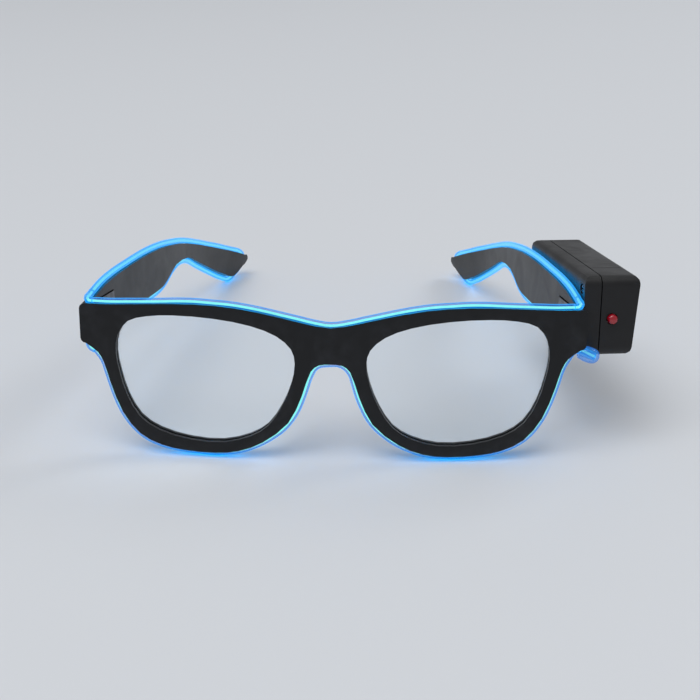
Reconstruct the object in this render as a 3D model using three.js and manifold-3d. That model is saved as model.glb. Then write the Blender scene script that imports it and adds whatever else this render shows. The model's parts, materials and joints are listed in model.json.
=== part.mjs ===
// Light up party glasses: a broad black frame with one glowing wire held in the edges of the front
// and of both temples, and a battery driver on the outside of the wearer's left temple.
// Millimetres. The glasses are built as worn: x to the wearer's left, y to the back of the head,
// z up, with z = 0 at the lowest edge of the rims. At the end the whole is tipped back until it
// stands on the rims and on the ends of the temples, with its origin under its middle.

import * as THREE from 'three';
import { mergeVertices } from 'three/addons/utils/BufferGeometryUtils.js';
import Module from 'manifold-3d';

const wasm = await Module();
wasm.setup();

// Fits
const fit = 0.3; // gap between pieces that touch
const overrun = 1.6; // how far a cut runs past the face that it leaves

// Front
const eyeWidth = 53.1;
const eyeHeight = 38.2;
const bridgeGap = 20.8; // between the two lens openings
const endPieceWidth = 10.7; // from a lens opening to the outer edge
const rimTop = 3.5;
const rimBottom = 3.5;
const frontThickness = 4.2;
const wrapDepth = 5.6; // how far the ends of the front lie behind its middle
const endCornerRadius = 1.6;
const lensThickness = 1.2;
const lensGrooveDepth = 1.0;
const padLength = 12.5; // nose pads
const padDepth = 8.6;
const padThickness = 4.2;
const padHeight = 19; // of a pad's middle above the lowest edge of the rims
const padSpread = 19.4; // between the middles of the two pads

// Glowing wire
const wireDiameter = 2.3;
const wireStand = 0.3; // how far its centre line stands out of the plastic edge
const wireTail = 3; // how far a corner piece of it runs onto the temple
const templeRelief = 0.7; // how far the edges of a temple are cut back beside it

// Clear cap on the far end of the wire
const capLength = 6.2;
const capDiameter = 4.7;
const capNeckDiameter = 3.7;
const capWall = 0.35;
const capBoreDepth = 3.4;
const capDrop = 0.85; // of its mouth below the plastic edge
const capLead = 1.2; // of straight wire before its mouth
const capDroopDegrees = 18;
const capEndShares = [0.67, 0.93]; // of its radius and length, at the rounding of its closed end

// Temples
const templeLength = 150.3;
const templeSpan = 27.9; // from the low corner of the ear end to the highest point
const templeThickness = 2.5;
const templeTipThickness = 3.9;
const templeInset = 1.85; // of its middle from the outer end of the front
const splayDegrees = 8.6; // how far the temples close in towards the back
const curlStart = 92;
const curlDepth = 7.3; // how far the ear ends curl inwards
const wireTurnInset = 1; // how deep the wire turns inside the tip
const tipReach = 3; // of the tip, in steps along the outline to either side of its end

// Hinges
const knuckleDiameter = 3.8;
const knuckleHeight = 2.6;
const knuckleCount = 3;
const pinDiameter = 1.6;
const screwHeadDiameter = 3.2;
const screwHeadHeight = 0.8;
const hingeGap = 0.5; // between a knuckle and the side of the temple
const hingePlateThickness = 0.9;
const hingePlateSink = 0.5;
const hingePlateWidth = 5;
const templePlateLength = 13.4;
const templePlateHeight = 9.6;
const templeArmLength = 4.5; // of the knuckle's arm, along the plate
const hingeWebWidth = 2.4;
const hingeLeanDegrees = 2.5; // the pins lean in, so a folded tip drops below the other hinge

// Driver case
const driverDepthTop = 16.8;
const driverDepthBottom = 15.1;
const driverWall = 1.1;
const driverCornerRadius = 2.2; // seen from the front
const driverSideRadius = 2.8; // seen from the side
const driverSetback = 1.7; // of its front face behind the front end of the temple
const driverLift = 2; // of its middle above the middle of the hinge
const baseDepth = 5; // the base reaches this far out, and the rest is shell and cover
const bayLength = 13; // the length of the shell, which closes the electronics bay
const coverLip = 1.4; // the cover's tongue under the shell
const coverLipThickness = 0.7;
const partitionPlace = 10.4;
const partitionThickness = 1;
const partitionDepth = 11.2;
const coverRibCount = 4;
const coverRibPitch = 2.2;
const coverRibHeight = 0.5;
const coverRibWidth = 0.9;
const coverRibLength = 11;

// Inside the driver
const cellDiameter = 10.5;
const cellGap = 0.2; // between the two cells
const cellLength = 44.5;
const cellNubDiameter = 5.2;
const cellNubLength = 1;
const contactThickness = 0.4;
const contactSize = 8.4;
const springDiameter = 5;
const springWire = 0.7;
const springTurns = 3;
const springLength = 2.6;
const boardThickness = 1;
const boardWidth = 9.8;
const boardHeight = 18.6;
const boardPlace = 5.4; // of its front face behind the front face of the case
const switchWidth = 4.4;
const switchDepth = 1.8;
const switchBoreDepth = 1.1;
const buttonDiameter = 2.9;
const buttonStand = 1.5; // how far it stands out of the case
const buttonFlangeDiameter = 4.2;
const buttonFlangeThickness = 0.8;
const buttonStemDiameter = 1.8;
const buttonStemLength = 1.3;
const buttonFaceShares = [0.75, 0.8]; // of its radius and stand, at the rounding of its face
const buttonAcross = 8.7; // its axis, out from the inner face of the case
const buttonUp = 11.4; // its axis, above the bottom of the case
const coilDiameter = 6.4;
const coilCoreDiameter = 4.6;
const coilHeight = 3;
const coilFlange = 0.6;
const capacitorWidth = 5;
const capacitorHeight = 2.2;
const capacitorDepth = 3.1;
const transistorDiameter = 4.2;
const transistorFlat = 1.2; // from its axis to its flat side
const transistorHeight = 3;
const leadDiameter = 1;
const leadAcross = 9.8;
const bossDiameter = 4.2;
const bossSetback = 3.1;
const bossInset = 4;
const screwDiameter = 1.5;
const caseScrewHeadDiameter = 2.6;
const screwLength = 9.4;
const mountScrewDiameter = 1.8;
const mountScrewBite = 1.5; // its depth in the temple
const mountScrewShares = [0.3, 0.8]; // of the case length
const grommetDiameter = 3.8;
const grommetLip = 0.5; // how far it stands into the case
const exitTurnRadius = 2; // of the wire where it leaves the temple for the case
const exitPlace = 8.4; // of the wire's hole behind the front face of the case
const exitDepth = 1.8; // of the wire's end inside the wall

// Outlines, as shares of the half width and height of the front, from the middle outwards
const topShares = [[0, 0.865], [0.113, 0.896], [0.202, 0.93], [0.373, 0.982], [0.539, 1],
  [0.708, 0.993], [0.876, 0.98], [0.978, 0.978]];
const bottomShares = [[0, 0.624], [0.046, 0.617], [0.077, 0.575], [0.113, 0.407], [0.167, 0.223],
  [0.272, 0.082], [0.368, 0.018], [0.466, 0], [0.589, 0.011], [0.681, 0.04], [0.768, 0.111],
  [0.837, 0.254], [0.884, 0.458], [0.907, 0.588], [0.93, 0.655], [0.978, 0.712]];

// The lens opening, as shares of its width from the nose and of its height
const eyeShares = [[1, 0.69], [0.985, 0.83], [0.925, 0.942], [0.82, 0.985], [0.67, 1],
  [0.444, 0.984], [0.24, 0.935], [0.1, 0.86], [0.02, 0.76], [0, 0.65], [0.019, 0.49],
  [0.073, 0.304], [0.15, 0.145], [0.25, 0.056], [0.4, 0], [0.584, 0.01], [0.765, 0.076],
  [0.875, 0.178], [0.945, 0.348], [0.983, 0.531]];

// A temple from the side, as shares of its length and span, from the hinge end
const templeTopShares = [[0, 0.86], [0.072, 0.946], [0.218, 0.996], [0.371, 1], [0.477, 0.961],
  [0.62, 0.849], [0.787, 0.631], [0.965, 0.352]];
const templeTipShares = [[0.988, 0.293], [1, 0.215], [0.99, 0.15]];
const templeBottomShares = [[0.975, 0.086], [0.945, 0], [0.912, 0.032], [0.776, 0.305],
  [0.68, 0.5], [0.621, 0.609], [0.53, 0.616], [0.48, 0.53], [0.437, 0.458], [0.39, 0.44],
  [0, 0.409]];
const heelLeanShare = 0.28; // how far the ear end leans out at its foot, per height
const heelLineShares = [0.86, 0.32]; // the height that doesn't move as it leans, start and end

// Counts
const wireSides = 8;
const grooveSides = 6;
const roundSides = 16;
const smallSides = 10;
const springSides = 5;
const stepsPerSpan = 2;
const frontSlices = 14;
const templeSlices = 28;
const templeRows = 7; // of faces up each side of a temple, which twists at its ear end
const stretchMarks = 1600; // along a path that a stretch is taken from

// Worked out
const halfWidth = bridgeGap / 2 + eyeWidth + endPieceWidth;
const frontHeight = rimBottom + eyeHeight + rimTop;
const wireRadius = wireDiameter / 2;
const splay = THREE.MathUtils.degToRad(splayDegrees);
const hingeLean = THREE.MathUtils.degToRad(hingeLeanDegrees);
const knuckleRadius = knuckleDiameter / 2;
const templeX = halfWidth - templeInset;
const templeY = frontMiddle(halfWidth) + frontThickness / 2 + fit;
const endLowZ = bottomShares.at(-1)[1] * frontHeight;
const endTopZ = topShares.at(-1)[1] * frontHeight;
const templeFootShare = templeBottomShares.at(-1)[1];
const templeLowZ = endLowZ - templeFootShare * templeSpan;
const templeTopFrontZ = templeLowZ + templeTopShares[0][1] * templeSpan;
const hingeZ = (endLowZ + templeTopFrontZ) / 2;
const hingeX = templeX - templeThickness / 2 - hingeGap - knuckleRadius;
const plateBackY = frontMiddle(hingeX) + frontThickness / 2 + hingePlateThickness - hingePlateSink;
const hingeY = plateBackY + fit + knuckleRadius;
const hingeHalfHeight = (knuckleCount * knuckleHeight) / 2 + fit;
const cornerTurn = frontThickness / 2;
const tipPlace = (templeTopShares.length + 1) * stepsPerSpan; // along a temple's outline
const contactPlace = partitionPlace + partitionThickness + fit;
const cellStart = contactPlace + contactThickness + fit;
const rearContactPlace = cellStart + cellLength + fit + springLength + fit;
const driverLength = rearContactPlace + contactThickness + fit + driverWall;
const driverHeight = 2 * (driverWall + fit + cellDiameter) + cellGap;
const driverY = templeY + driverSetback;
const driverX = templeX - Math.tan(splay) * driverSetback
  + (templeThickness / 2 + fit) / Math.cos(splay);
const driverZ = hingeZ + driverLift - driverHeight / 2;

const looks = {
  plastic: { color: 0x0c0d10, roughness: 0.35, metalness: 0 },
  caseBlack: { color: 0x0a0a0c, roughness: 0.5, metalness: 0 },
  lens: { color: 0xdfe8ee, roughness: 0.05, metalness: 0, transparent: true, opacity: 0.25 },
  glow: { color: 0x8fd9ff, roughness: 0.3, metalness: 0, emissive: 0x35b6ff, emissiveIntensity: 1 },
  clear: { color: 0xbfe4fa, roughness: 0.1, metalness: 0, transparent: true, opacity: 0.5 },
  steel: { color: 0xb9bcc0, roughness: 0.3, metalness: 1 },
  brass: { color: 0xb9a15a, roughness: 0.35, metalness: 1 },
  red: { color: 0xa10f1c, roughness: 0.2, metalness: 0 },
  board: { color: 0x1d5a35, roughness: 0.5, metalness: 0 },
  dark: { color: 0x17181b, roughness: 0.6, metalness: 0 },
  copper: { color: 0xa8582c, roughness: 0.4, metalness: 0.8 },
  cell: { color: 0x30343a, roughness: 0.4, metalness: 0.6 },
  rubber: { color: 0x111111, roughness: 0.9, metalness: 0 },
  redLead: { color: 0xb01818, roughness: 0.5, metalness: 0 },
  cream: { color: 0xd8cfae, roughness: 0.5, metalness: 0 },
};

// The middle of the front's thickness lies on this curve across its width.
function frontMiddle(x) {
  return wrapDepth * (x / halfWidth) ** 2;
}

// How far along the ear end a place on a temple lies, from 0 to 1.
function curlShare(y) {
  const along = y - templeY;
  return THREE.MathUtils.clamp((along - curlStart) / (templeLength - curlStart), 0, 1);
}

// The middle of the left temple's thickness at a place on its side.
function templeMiddle(y, z) {
  const curl = curlShare(y);
  const lineShare = THREE.MathUtils.lerp(heelLineShares[0], heelLineShares[1], curl);
  const line = templeLowZ + lineShare * templeSpan;
  const straight = templeX - Math.tan(splay) * (y - templeY);
  return straight - curlDepth * curl * curl + heelLeanShare * curl * (line - z);
}

function templeHalfThickness(y) {
  return THREE.MathUtils.lerp(templeThickness, templeTipThickness, curlShare(y)) / 2;
}

// A solid for joining and cutting, from a closed geometry.
function solid(geometry) {
  const bare = geometry.clone();
  bare.deleteAttribute('normal');
  bare.deleteAttribute('uv');
  const merged = mergeVertices(bare);
  const corners = merged.index.array;
  const kept = [];
  for (let i = 0; i < corners.length; i += 3) {
    const [a, b, c] = [corners[i], corners[i + 1], corners[i + 2]];
    if (a !== b && b !== c && c !== a) {
      kept.push(a, b, c);
    }
  }
  return new wasm.Manifold(new wasm.Mesh({
    numProp: 3,
    vertProperties: Float32Array.from(merged.attributes.position.array),
    triVerts: Uint32Array.from(kept),
  }));
}

function geometryOf(body) {
  const mesh = body.getMesh();
  const geometry = new THREE.BufferGeometry();
  geometry.setAttribute('position', new THREE.BufferAttribute(Float32Array.from(mesh.vertProperties), 3));
  geometry.setIndex(Array.from(mesh.triVerts));
  return geometry;
}

function join(...bodies) {
  return bodies.reduce((whole, body) => whole.add(body));
}

function cut(body, ...cutters) {
  return cutters.reduce((rest, cutter) => rest.subtract(cutter), body);
}

// A box between two corners.
function block(low, high) {
  const size = high.map((value, axis) => value - low[axis]);
  const geometry = new THREE.BoxGeometry(...size);
  geometry.translate(...low.map((value, axis) => value + size[axis] / 2));
  return geometry;
}

// A round bar from start to end along one axis, with the other two places given.
function bar(axis, radius, start, end, place, sides = smallSides) {
  const geometry = new THREE.CylinderGeometry(radius, radius, end - start, sides);
  turnToAxis(geometry, axis);
  const middle = [...place];
  middle.splice('xyz'.indexOf(axis), 0, (start + end) / 2);
  geometry.translate(...middle);
  return geometry;
}

// Turns a geometry made along +y so that it runs along +x, +y or +z.
function turnToAxis(geometry, axis) {
  if (axis === 'x') {
    geometry.rotateZ(-Math.PI / 2);
  }
  if (axis === 'z') {
    geometry.rotateX(Math.PI / 2);
  }
  return geometry;
}

// A turned piece: radius and place along the axis, from the axis round to the axis.
function turned(profile, sides = roundSides) {
  const points = profile.map(([radius, along]) => new THREE.Vector2(radius, along));
  return new THREE.LatheGeometry(points, sides);
}

function shapeOf(points) {
  return new THREE.Shape(points.map(([u, v]) => new THREE.Vector2(u, v)));
}

// An outline in x and z, run along y.
function prismY(points, start, end) {
  const geometry = new THREE.ExtrudeGeometry(shapeOf(points), { depth: end - start, bevelEnabled: false });
  geometry.rotateX(Math.PI / 2);
  geometry.translate(0, end, 0);
  return geometry;
}

// An outline in y and z, run along x.
function prismX(points, start, end) {
  const geometry = new THREE.ExtrudeGeometry(shapeOf(points), { depth: end - start, bevelEnabled: false });
  const turn = new THREE.Matrix4().makeBasis(
    new THREE.Vector3(0, 1, 0), new THREE.Vector3(0, 0, 1), new THREE.Vector3(1, 0, 0));
  geometry.applyMatrix4(turn);
  geometry.translate(start, 0, 0);
  return geometry;
}

// A closed skin over rings of as many points each, with a fan over each end.
function loft(rings) {
  const sides = rings[0].length;
  const positions = rings.flat(2);
  const index = [];
  for (let ring = 0; ring + 1 < rings.length; ring += 1) {
    for (let side = 0; side < sides; side += 1) {
      const here = ring * sides + side;
      const next = ring * sides + (side + 1) % sides;
      index.push(here, next + sides, next, here, here + sides, next + sides);
    }
  }
  const last = (rings.length - 1) * sides;
  for (let side = 1; side + 1 < sides; side += 1) {
    index.push(0, side, side + 1);
    index.push(last, last + side + 1, last + side);
  }
  const geometry = new THREE.BufferGeometry();
  geometry.setAttribute('position', new THREE.BufferAttribute(new Float32Array(positions), 3));
  geometry.setIndex(index);
  return geometry;
}

// The points of a smooth line through the given [u, v] points.
function smooth(points, closed = false) {
  const corners = points.map(([u, v]) => new THREE.Vector3(u, v, 0));
  const curve = new THREE.CatmullRomCurve3(corners, closed, 'centripetal');
  const spans = closed ? points.length : points.length - 1;
  const line = curve.getPoints(spans * stepsPerSpan).map((point) => [point.x, point.y]);
  return closed ? line.slice(0, -1) : line;
}

// Moves the points of a line to its right by a distance that may change along it.
function shifted(line, distance, closed = false) {
  const count = line.length;
  return line.map(([u, v], i) => {
    const before = line[closed ? (i + count - 1) % count : Math.max(i - 1, 0)];
    const after = line[closed ? (i + 1) % count : Math.min(i + 1, count - 1)];
    const along = new THREE.Vector2(after[0] - before[0], after[1] - before[1]).normalize();
    const far = typeof distance === 'function' ? distance(i) : distance;
    return [u + along.y * far, v - along.x * far];
  });
}

function mirrored(points) {
  return points.map(([u, v]) => [-u, v]).reverse();
}

// A tube along a smooth line through the given points.
function tube(points, radius, steps, sides = wireSides) {
  const path = new THREE.CatmullRomCurve3(points, false, 'centripetal');
  path.arcLengthDivisions = steps * wireSides;
  const ring = [];
  for (let side = 0; side < sides; side += 1) {
    const angle = (2 * Math.PI * (side + 1 / 2)) / sides;
    ring.push([radius * Math.cos(angle), radius * Math.sin(angle)]);
  }
  return new THREE.ExtrudeGeometry(shapeOf(ring), { steps, extrudePath: path, bevelEnabled: false });
}

// The same geometry on the other side of the head.
function otherSide(geometry) {
  const copy = geometry.index ? geometry.toNonIndexed() : geometry.clone();
  copy.scale(-1, 1, 1);
  const place = copy.attributes.position;
  const swap = new THREE.Vector3();
  const other = new THREE.Vector3();
  for (let i = 0; i < place.count; i += 3) {
    swap.fromBufferAttribute(place, i + 1);
    other.fromBufferAttribute(place, i + 2);
    place.setXYZ(i + 1, other.x, other.y, other.z);
    place.setXYZ(i + 2, swap.x, swap.y, swap.z);
  }
  return copy;
}

function named(name, geometry, look) {
  geometry.deleteAttribute('uv');
  geometry.computeVertexNormals();
  const mesh = new THREE.Mesh(geometry, new THREE.MeshStandardMaterial(looks[look]));
  mesh.name = name;
  return mesh;
}

// Front

function frontPoints(shares) {
  return shares.map(([u, v]) => [u * halfWidth, v * frontHeight]);
}

// The top edge runs from the left end piece to the right one, and the bottom edge back.
function topLine() {
  const right = frontPoints(topShares);
  return smooth([...right.toReversed(), ...mirrored(right.slice(1)).toReversed()]);
}

function bottomLine() {
  const right = frontPoints(bottomShares);
  return smooth([...mirrored(right.slice(1)), ...right]);
}

// A quarter of a circle from one point to the next, which bulges towards the corner.
function roundCorner(from, corner, to) {
  return [1 / 3, 2 / 3].map((share) => {
    const angle = (share * Math.PI) / 2;
    const [s, c] = [1 - Math.sin(angle), 1 - Math.cos(angle)];
    return [0, 1].map((k) => corner[k] + (from[k] - corner[k]) * s + (to[k] - corner[k]) * c);
  });
}

function frontOutline() {
  const top = topLine();
  const bottom = bottomLine();
  const left = top.at(-1);
  const right = top[0];
  const footLeft = bottom[0];
  const footRight = bottom.at(-1);
  const leftHigh = [-halfWidth, left[1] - endCornerRadius];
  const leftLow = [-halfWidth, footLeft[1] + endCornerRadius];
  const rightLow = [halfWidth, footRight[1] + endCornerRadius];
  const rightHigh = [halfWidth, right[1] - endCornerRadius];
  return [
    ...top,
    ...roundCorner(left, [-halfWidth, left[1]], leftHigh), leftHigh,
    leftLow, ...roundCorner(leftLow, [-halfWidth, footLeft[1]], footLeft),
    ...bottom,
    ...roundCorner(footRight, [halfWidth, footRight[1]], rightLow), rightLow,
    rightHigh, ...roundCorner(rightHigh, [halfWidth, right[1]], right),
  ];
}

function eyeOutline(grow) {
  const points = eyeShares.map(([u, v]) => [bridgeGap / 2 + u * eyeWidth, rimBottom + v * eyeHeight]);
  return shifted(smooth(points, true), grow, true);
}

// A slab that follows the curve of the front, between two places on either side of its middle.
function frontSlab(halfThickness, from, to) {
  const rings = [];
  for (let i = 0; i <= frontSlices; i += 1) {
    const x = THREE.MathUtils.lerp(from, to, i / frontSlices);
    const [front, back] = [frontMiddle(x) - halfThickness, frontMiddle(x) + halfThickness];
    const [low, high] = [-overrun, frontHeight + overrun];
    rings.push([[x, front, low], [x, front, high], [x, back, high], [x, back, low]]);
  }
  return solid(loft(rings));
}

function eyePrism(grow) {
  return solid(prismY(eyeOutline(grow), -frontThickness, wrapDepth + frontThickness));
}

function lens() {
  const slab = frontSlab(lensThickness / 2, 0, halfWidth);
  return geometryOf(slab.intersect(eyePrism(lensGrooveDepth - fit)));
}

function nosePad() {
  const pad = new THREE.SphereGeometry(1 / 2, smallSides, smallSides / 2);
  pad.scale(padThickness, padDepth, padLength);
  const lean = Math.atan2(
    (bottomShares[4][0] - bottomShares[3][0]) * halfWidth,
    (bottomShares[3][1] - bottomShares[4][1]) * frontHeight);
  pad.rotateY(-lean);
  pad.translate(padSpread / 2, frontThickness, padHeight);
  return pad;
}

function onFront([x, z]) {
  return new THREE.Vector3(x, frontMiddle(x), z);
}

// The wire turns back onto the temples inside the thickness of the front, in from here.
const turnX = templeX - cornerTurn;
const wireTopSteps = 28;
const wireBottomSteps = 56;
const cornerSteps = 8;
const grooveRadius = wireRadius + fit;

const tailY = templeY + wireTail;
const templeLine = wireTempleLine();

// Height at a place along a line, which is followed from its hinge end until it passes that place.
function heightAt(line, y) {
  const after = line.findIndex(([along]) => along > y);
  if (after < 1) {
    return line[0][1];
  }
  const [a, b] = [line[after - 1], line[after]];
  return THREE.MathUtils.mapLinear(y, a[0], b[0], a[1], b[1]);
}

function onTemple(y, z) {
  return new THREE.Vector3(templeMiddle(y, z), y, z);
}

// The wire's turn from the edge of the front onto an edge of the left temple, after its start.
function cornerPoints(frontZ, line) {
  const points = [1 / 3, 2 / 3, 1].map((share) => {
    const angle = (share * Math.PI) / 2;
    return new THREE.Vector3(
      turnX + cornerTurn * Math.sin(angle),
      frontMiddle(turnX) + cornerTurn * (1 - Math.cos(angle)),
      THREE.MathUtils.lerp(frontZ, heightAt(line, templeY), share));
  });
  const tail = [templeY + wireTail / 2, tailY, tailY + wireTail / 2];
  return [...points, ...tail.map((y) => onTemple(y, heightAt(line, y)))];
}

function mirrorPoints(points) {
  return points.map((point) => new THREE.Vector3(-point.x, point.y, point.z));
}

// The wire's line on an edge of the front, between the turns at its two ends.
function edgePoints(edge) {
  return shifted(edge, wireStand).filter(([x]) => Math.abs(x) < turnX).map(onFront);
}

function wireTopPoints() {
  const turn = cornerPoints(endTopZ + wireStand, templeLine);
  return [...turn.toReversed(), ...edgePoints(topLine()), ...mirrorPoints(turn)];
}

const capMouth = new THREE.Vector3(templeX, frontMiddle(templeX), endLowZ - capDrop);
const capDroop = THREE.MathUtils.degToRad(capDroopDegrees);
const capAxis = new THREE.Vector3(Math.cos(capDroop), 0, -Math.sin(capDroop));

function wireBottomPoints() {
  const line = edgePoints(bottomLine());
  const turn = cornerPoints(line[0].z, templeLine.toReversed());
  const inCap = capMouth.clone().addScaledVector(capAxis, capBoreDepth - fit);
  const beforeCap = capMouth.clone().addScaledVector(capAxis, -capLead);
  return [...mirrorPoints(turn.toReversed()), ...line, beforeCap, capMouth, inCap];
}

// Places along the part of a path that lies inside, each end drawn in by a gap.
function stretch(points, inside, steps) {
  const path = new THREE.CatmullRomCurve3(points, false, 'centripetal');
  path.arcLengthDivisions = stretchMarks;
  const length = path.getLength();
  const shares = Array.from({ length: stretchMarks + 1 }, (unused, i) => i / stretchMarks);
  const within = shares.filter((share) => inside(path.getPointAt(share)));
  const start = within[0] + fit / length;
  const end = within.at(-1) - fit / length;
  const places = [];
  for (let i = 0; i <= steps; i += 1) {
    places.push(path.getPointAt(THREE.MathUtils.lerp(start, end, i / steps)));
  }
  return places;
}

const topStretch = stretch(wireTopPoints(), (point) => Math.abs(point.x) < turnX, wireTopSteps);
const topCornerStretch = stretch(
  wireTopPoints(), (point) => point.x > turnX && point.y < tailY, cornerSteps);
const bottomStretch = stretch(wireBottomPoints(), (point) => point.x > -turnX, wireBottomSteps);
const lowCornerStretch = mirrorPoints(stretch(
  wireBottomPoints(), (point) => point.x < -turnX && point.y < tailY, cornerSteps));

// Places straight on from a path's end, as far apart as its own, until they run clear of it.
function runOn(from, to) {
  const step = to.clone().sub(from);
  const count = Math.ceil(overrun / step.length());
  return Array.from({ length: count }, (unused, i) => to.clone().addScaledVector(step, i + 1));
}

// A cutter for the groove that a stretch of wire lies in.
function grooveAlong(places) {
  const before = runOn(places[1], places[0]).toReversed();
  const whole = [...before, ...places, ...runOn(places.at(-2), places.at(-1))];
  return tube(whole, grooveRadius, whole.length - 1, grooveSides);
}

// Pocket for the hinge plate, in the hinge's own frame.
function frontHingePocket() {
  const [half, high] = [hingePlateWidth / 2 + fit, hingeHalfHeight + fit];
  const back = -knuckleRadius - fit;
  const pocket = block(
    [-half, back - hingePlateThickness - fit, -high], [half, back + overrun, high]);
  return toHinge(pocket);
}

// Moves a geometry from the left hinge's own frame, with its pin along z, to its place.
function toHinge(geometry) {
  geometry.rotateY(-hingeLean);
  geometry.translate(hingeX, hingeY, hingeZ);
  return geometry;
}

function frontFrame() {
  const outline = solid(prismY(frontOutline(), -frontThickness, wrapDepth + frontThickness));
  const reach = halfWidth + overrun;
  const pads = [nosePad(), otherSide(nosePad())].map(solid);
  const plate = join(frontSlab(frontThickness / 2, -reach, reach).intersect(outline), ...pads);
  const grooves = [
    grooveAlong(topStretch),
    grooveAlong(bottomStretch),
    grooveAlong(topCornerStretch),
    otherSide(grooveAlong(topCornerStretch)),
    otherSide(grooveAlong(lowCornerStretch)),
  ].map(solid);
  const eye = solid(prismY(eyeOutline(0), -frontThickness, wrapDepth + 2 * frontThickness + padDepth));
  const groove = frontSlab(lensThickness / 2 + fit, 0, halfWidth).intersect(eyePrism(lensGrooveDepth));
  const eyes = [eye, groove, solid(otherSide(geometryOf(eye))), solid(otherSide(geometryOf(groove)))];
  const pockets = [solid(frontHingePocket()), solid(otherSide(frontHingePocket()))];
  const capRoom = solid(toCap(turned([[0, -fit], [capNeckDiameter / 2 + fit, -fit],
    [capDiameter / 2 + fit, capLength / 3], [capDiameter / 2 + fit, capLength], [0, capLength]])));
  return geometryOf(cut(plate, ...eyes, ...grooves, ...pockets, capRoom));
}

// Moves a turned geometry from the cap's own frame, with its mouth at the origin, to its place.
function toCap(geometry) {
  geometry.rotateZ(-Math.PI / 2);
  geometry.rotateY(capDroop);
  geometry.translate(...capMouth.toArray());
  return geometry;
}

function endCap() {
  const [bore, neck, full] = [wireRadius + capWall, capNeckDiameter / 2, capDiameter / 2];
  const [endWidth, endPlace] = capEndShares;
  return toCap(turned([[0, capBoreDepth], [bore, capBoreDepth], [bore, 0], [neck, 0],
    [full, capLength / 3], [full, capLength * 2 / 3], [full * endWidth, capLength * endPlace],
    [0, capLength]], smallSides));
}

// Hinges, in their own frame: the pin along z, x outwards, y back

function knuckle(low, high) {
  const ring = solid(bar('z', knuckleRadius, low, high, [0, 0], roundSides));
  return ring.subtract(solid(bar('z', pinDiameter / 2 + fit, low - fit, high + fit, [0, 0])));
}

function frontHinge() {
  const back = -knuckleRadius - fit;
  const half = hingePlateWidth / 2;
  const plate = solid(block(
    [-half, back - hingePlateThickness, -hingeHalfHeight], [half, back, hingeHalfHeight]));
  const pieces = [plate];
  for (const side of [-1, 1]) {
    const inner = side * (knuckleHeight / 2 + fit);
    const outer = side * hingeHalfHeight;
    const [low, high] = [Math.min(inner, outer), Math.max(inner, outer)];
    const web = solid(block(
      [-hingeWebWidth / 2, back - hingePlateThickness / 2, low], [hingeWebWidth / 2, 0, high]));
    const bore = solid(bar('z', pinDiameter / 2 + fit, low - fit, high + fit, [0, 0]));
    pieces.push(join(knuckle(low, high), web).subtract(bore));
  }
  return toHinge(geometryOf(join(...pieces)));
}

// The plate on the temple's inner side, or the pocket for it, in the worn frame.
function templePlate(gap) {
  const middleY = hingeY + knuckleRadius + fit + templePlateLength / 2;
  const middleX = templeMiddle(middleY, hingeZ) - templeHalfThickness(middleY) / Math.cos(splay);
  const [half, high] = [templePlateLength / 2 + gap, templePlateHeight / 2 + gap];
  const plate = block(
    [hingePlateSink - hingePlateThickness - gap, -half, -high], [hingePlateSink + gap, half, high]);
  plate.rotateZ(splay);
  plate.translate(middleX, middleY, hingeZ);
  return plate;
}

function templeHinge() {
  const half = knuckleHeight / 2;
  const armReach = knuckleRadius + templeArmLength;
  const arm = block([0, 0, -half], [knuckleRadius - pinDiameter / 4, armReach, half]);
  arm.rotateZ(splay / 2);
  const bore = solid(bar('z', pinDiameter / 2 + fit, -half - fit, half + fit, [0, 0]));
  const swivel = geometryOf(join(knuckle(-half, half), solid(arm)).subtract(bore));
  return geometryOf(join(solid(toHinge(swivel)), solid(templePlate(0))));
}

function hingeScrew() {
  const [shank, head, end] = [pinDiameter / 2, screwHeadDiameter / 2, hingeHalfHeight + fit];
  const screw = turned([[0, -end], [shank, -end], [shank, end], [head, end],
    [head, end + screwHeadHeight * 2 / 3], [head * 2 / 3, end + screwHeadHeight],
    [0, end + screwHeadHeight]], smallSides);
  return toHinge(turnToAxis(screw, 'z'));
}

// Temples, the left one as worn

function templePoints(shares) {
  return shares.map(([u, v]) => [templeY + u * templeLength, templeLowZ + v * templeSpan]);
}

// The line that the edges follow, from the top of the hinge end, round the tip, to the foot.
function templeOutline() {
  return smooth(templePoints([...templeTopShares, ...templeTipShares, ...templeBottomShares]));
}

// The edges, which are cut back beside the wire but not at the tip.
function templeEdge() {
  return shifted(templeOutline(), (i) => (Math.abs(i - tipPlace) < tipReach ? 0 : templeRelief));
}

function templeSlab() {
  const rings = [];
  const [low, high] = [templeLowZ - overrun, templeLowZ + templeSpan + overrun];
  for (let i = 0; i <= templeSlices; i += 1) {
    const y = THREE.MathUtils.lerp(templeY - overrun, templeY + templeLength + overrun, i / templeSlices);
    const half = templeHalfThickness(y) / Math.cos(splay);
    const heights = Array.from(
      { length: templeRows + 1 }, (unused, row) => THREE.MathUtils.lerp(low, high, row / templeRows));
    rings.push([
      ...heights.map((z) => [templeMiddle(y, z) + half, y, z]),
      ...heights.toReversed().map((z) => [templeMiddle(y, z) - half, y, z]),
    ]);
  }
  return solid(loft(rings));
}

// The wire's line round a temple. It stands out of the edge, and turns inside the tip.
function wireTempleLine() {
  return shifted(templeOutline(), (i) => {
    const beyond = tipReach - Math.abs(i - tipPlace);
    return beyond > 0 ? wireTurnInset * Math.min(beyond / 2, 1) : -wireStand;
  });
}

function templeWirePoints() {
  const line = templeLine.filter(([y]) => y > tailY);
  const before = [templeY + wireTail / 2, tailY];
  const start = before.map((y) => [y, heightAt(templeLine, y)]);
  const end = before.toReversed().map((y) => [y, heightAt(templeLine.toReversed(), y)]);
  return [...start, ...line, ...end].map(([y, z]) => onTemple(y, z));
}

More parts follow.
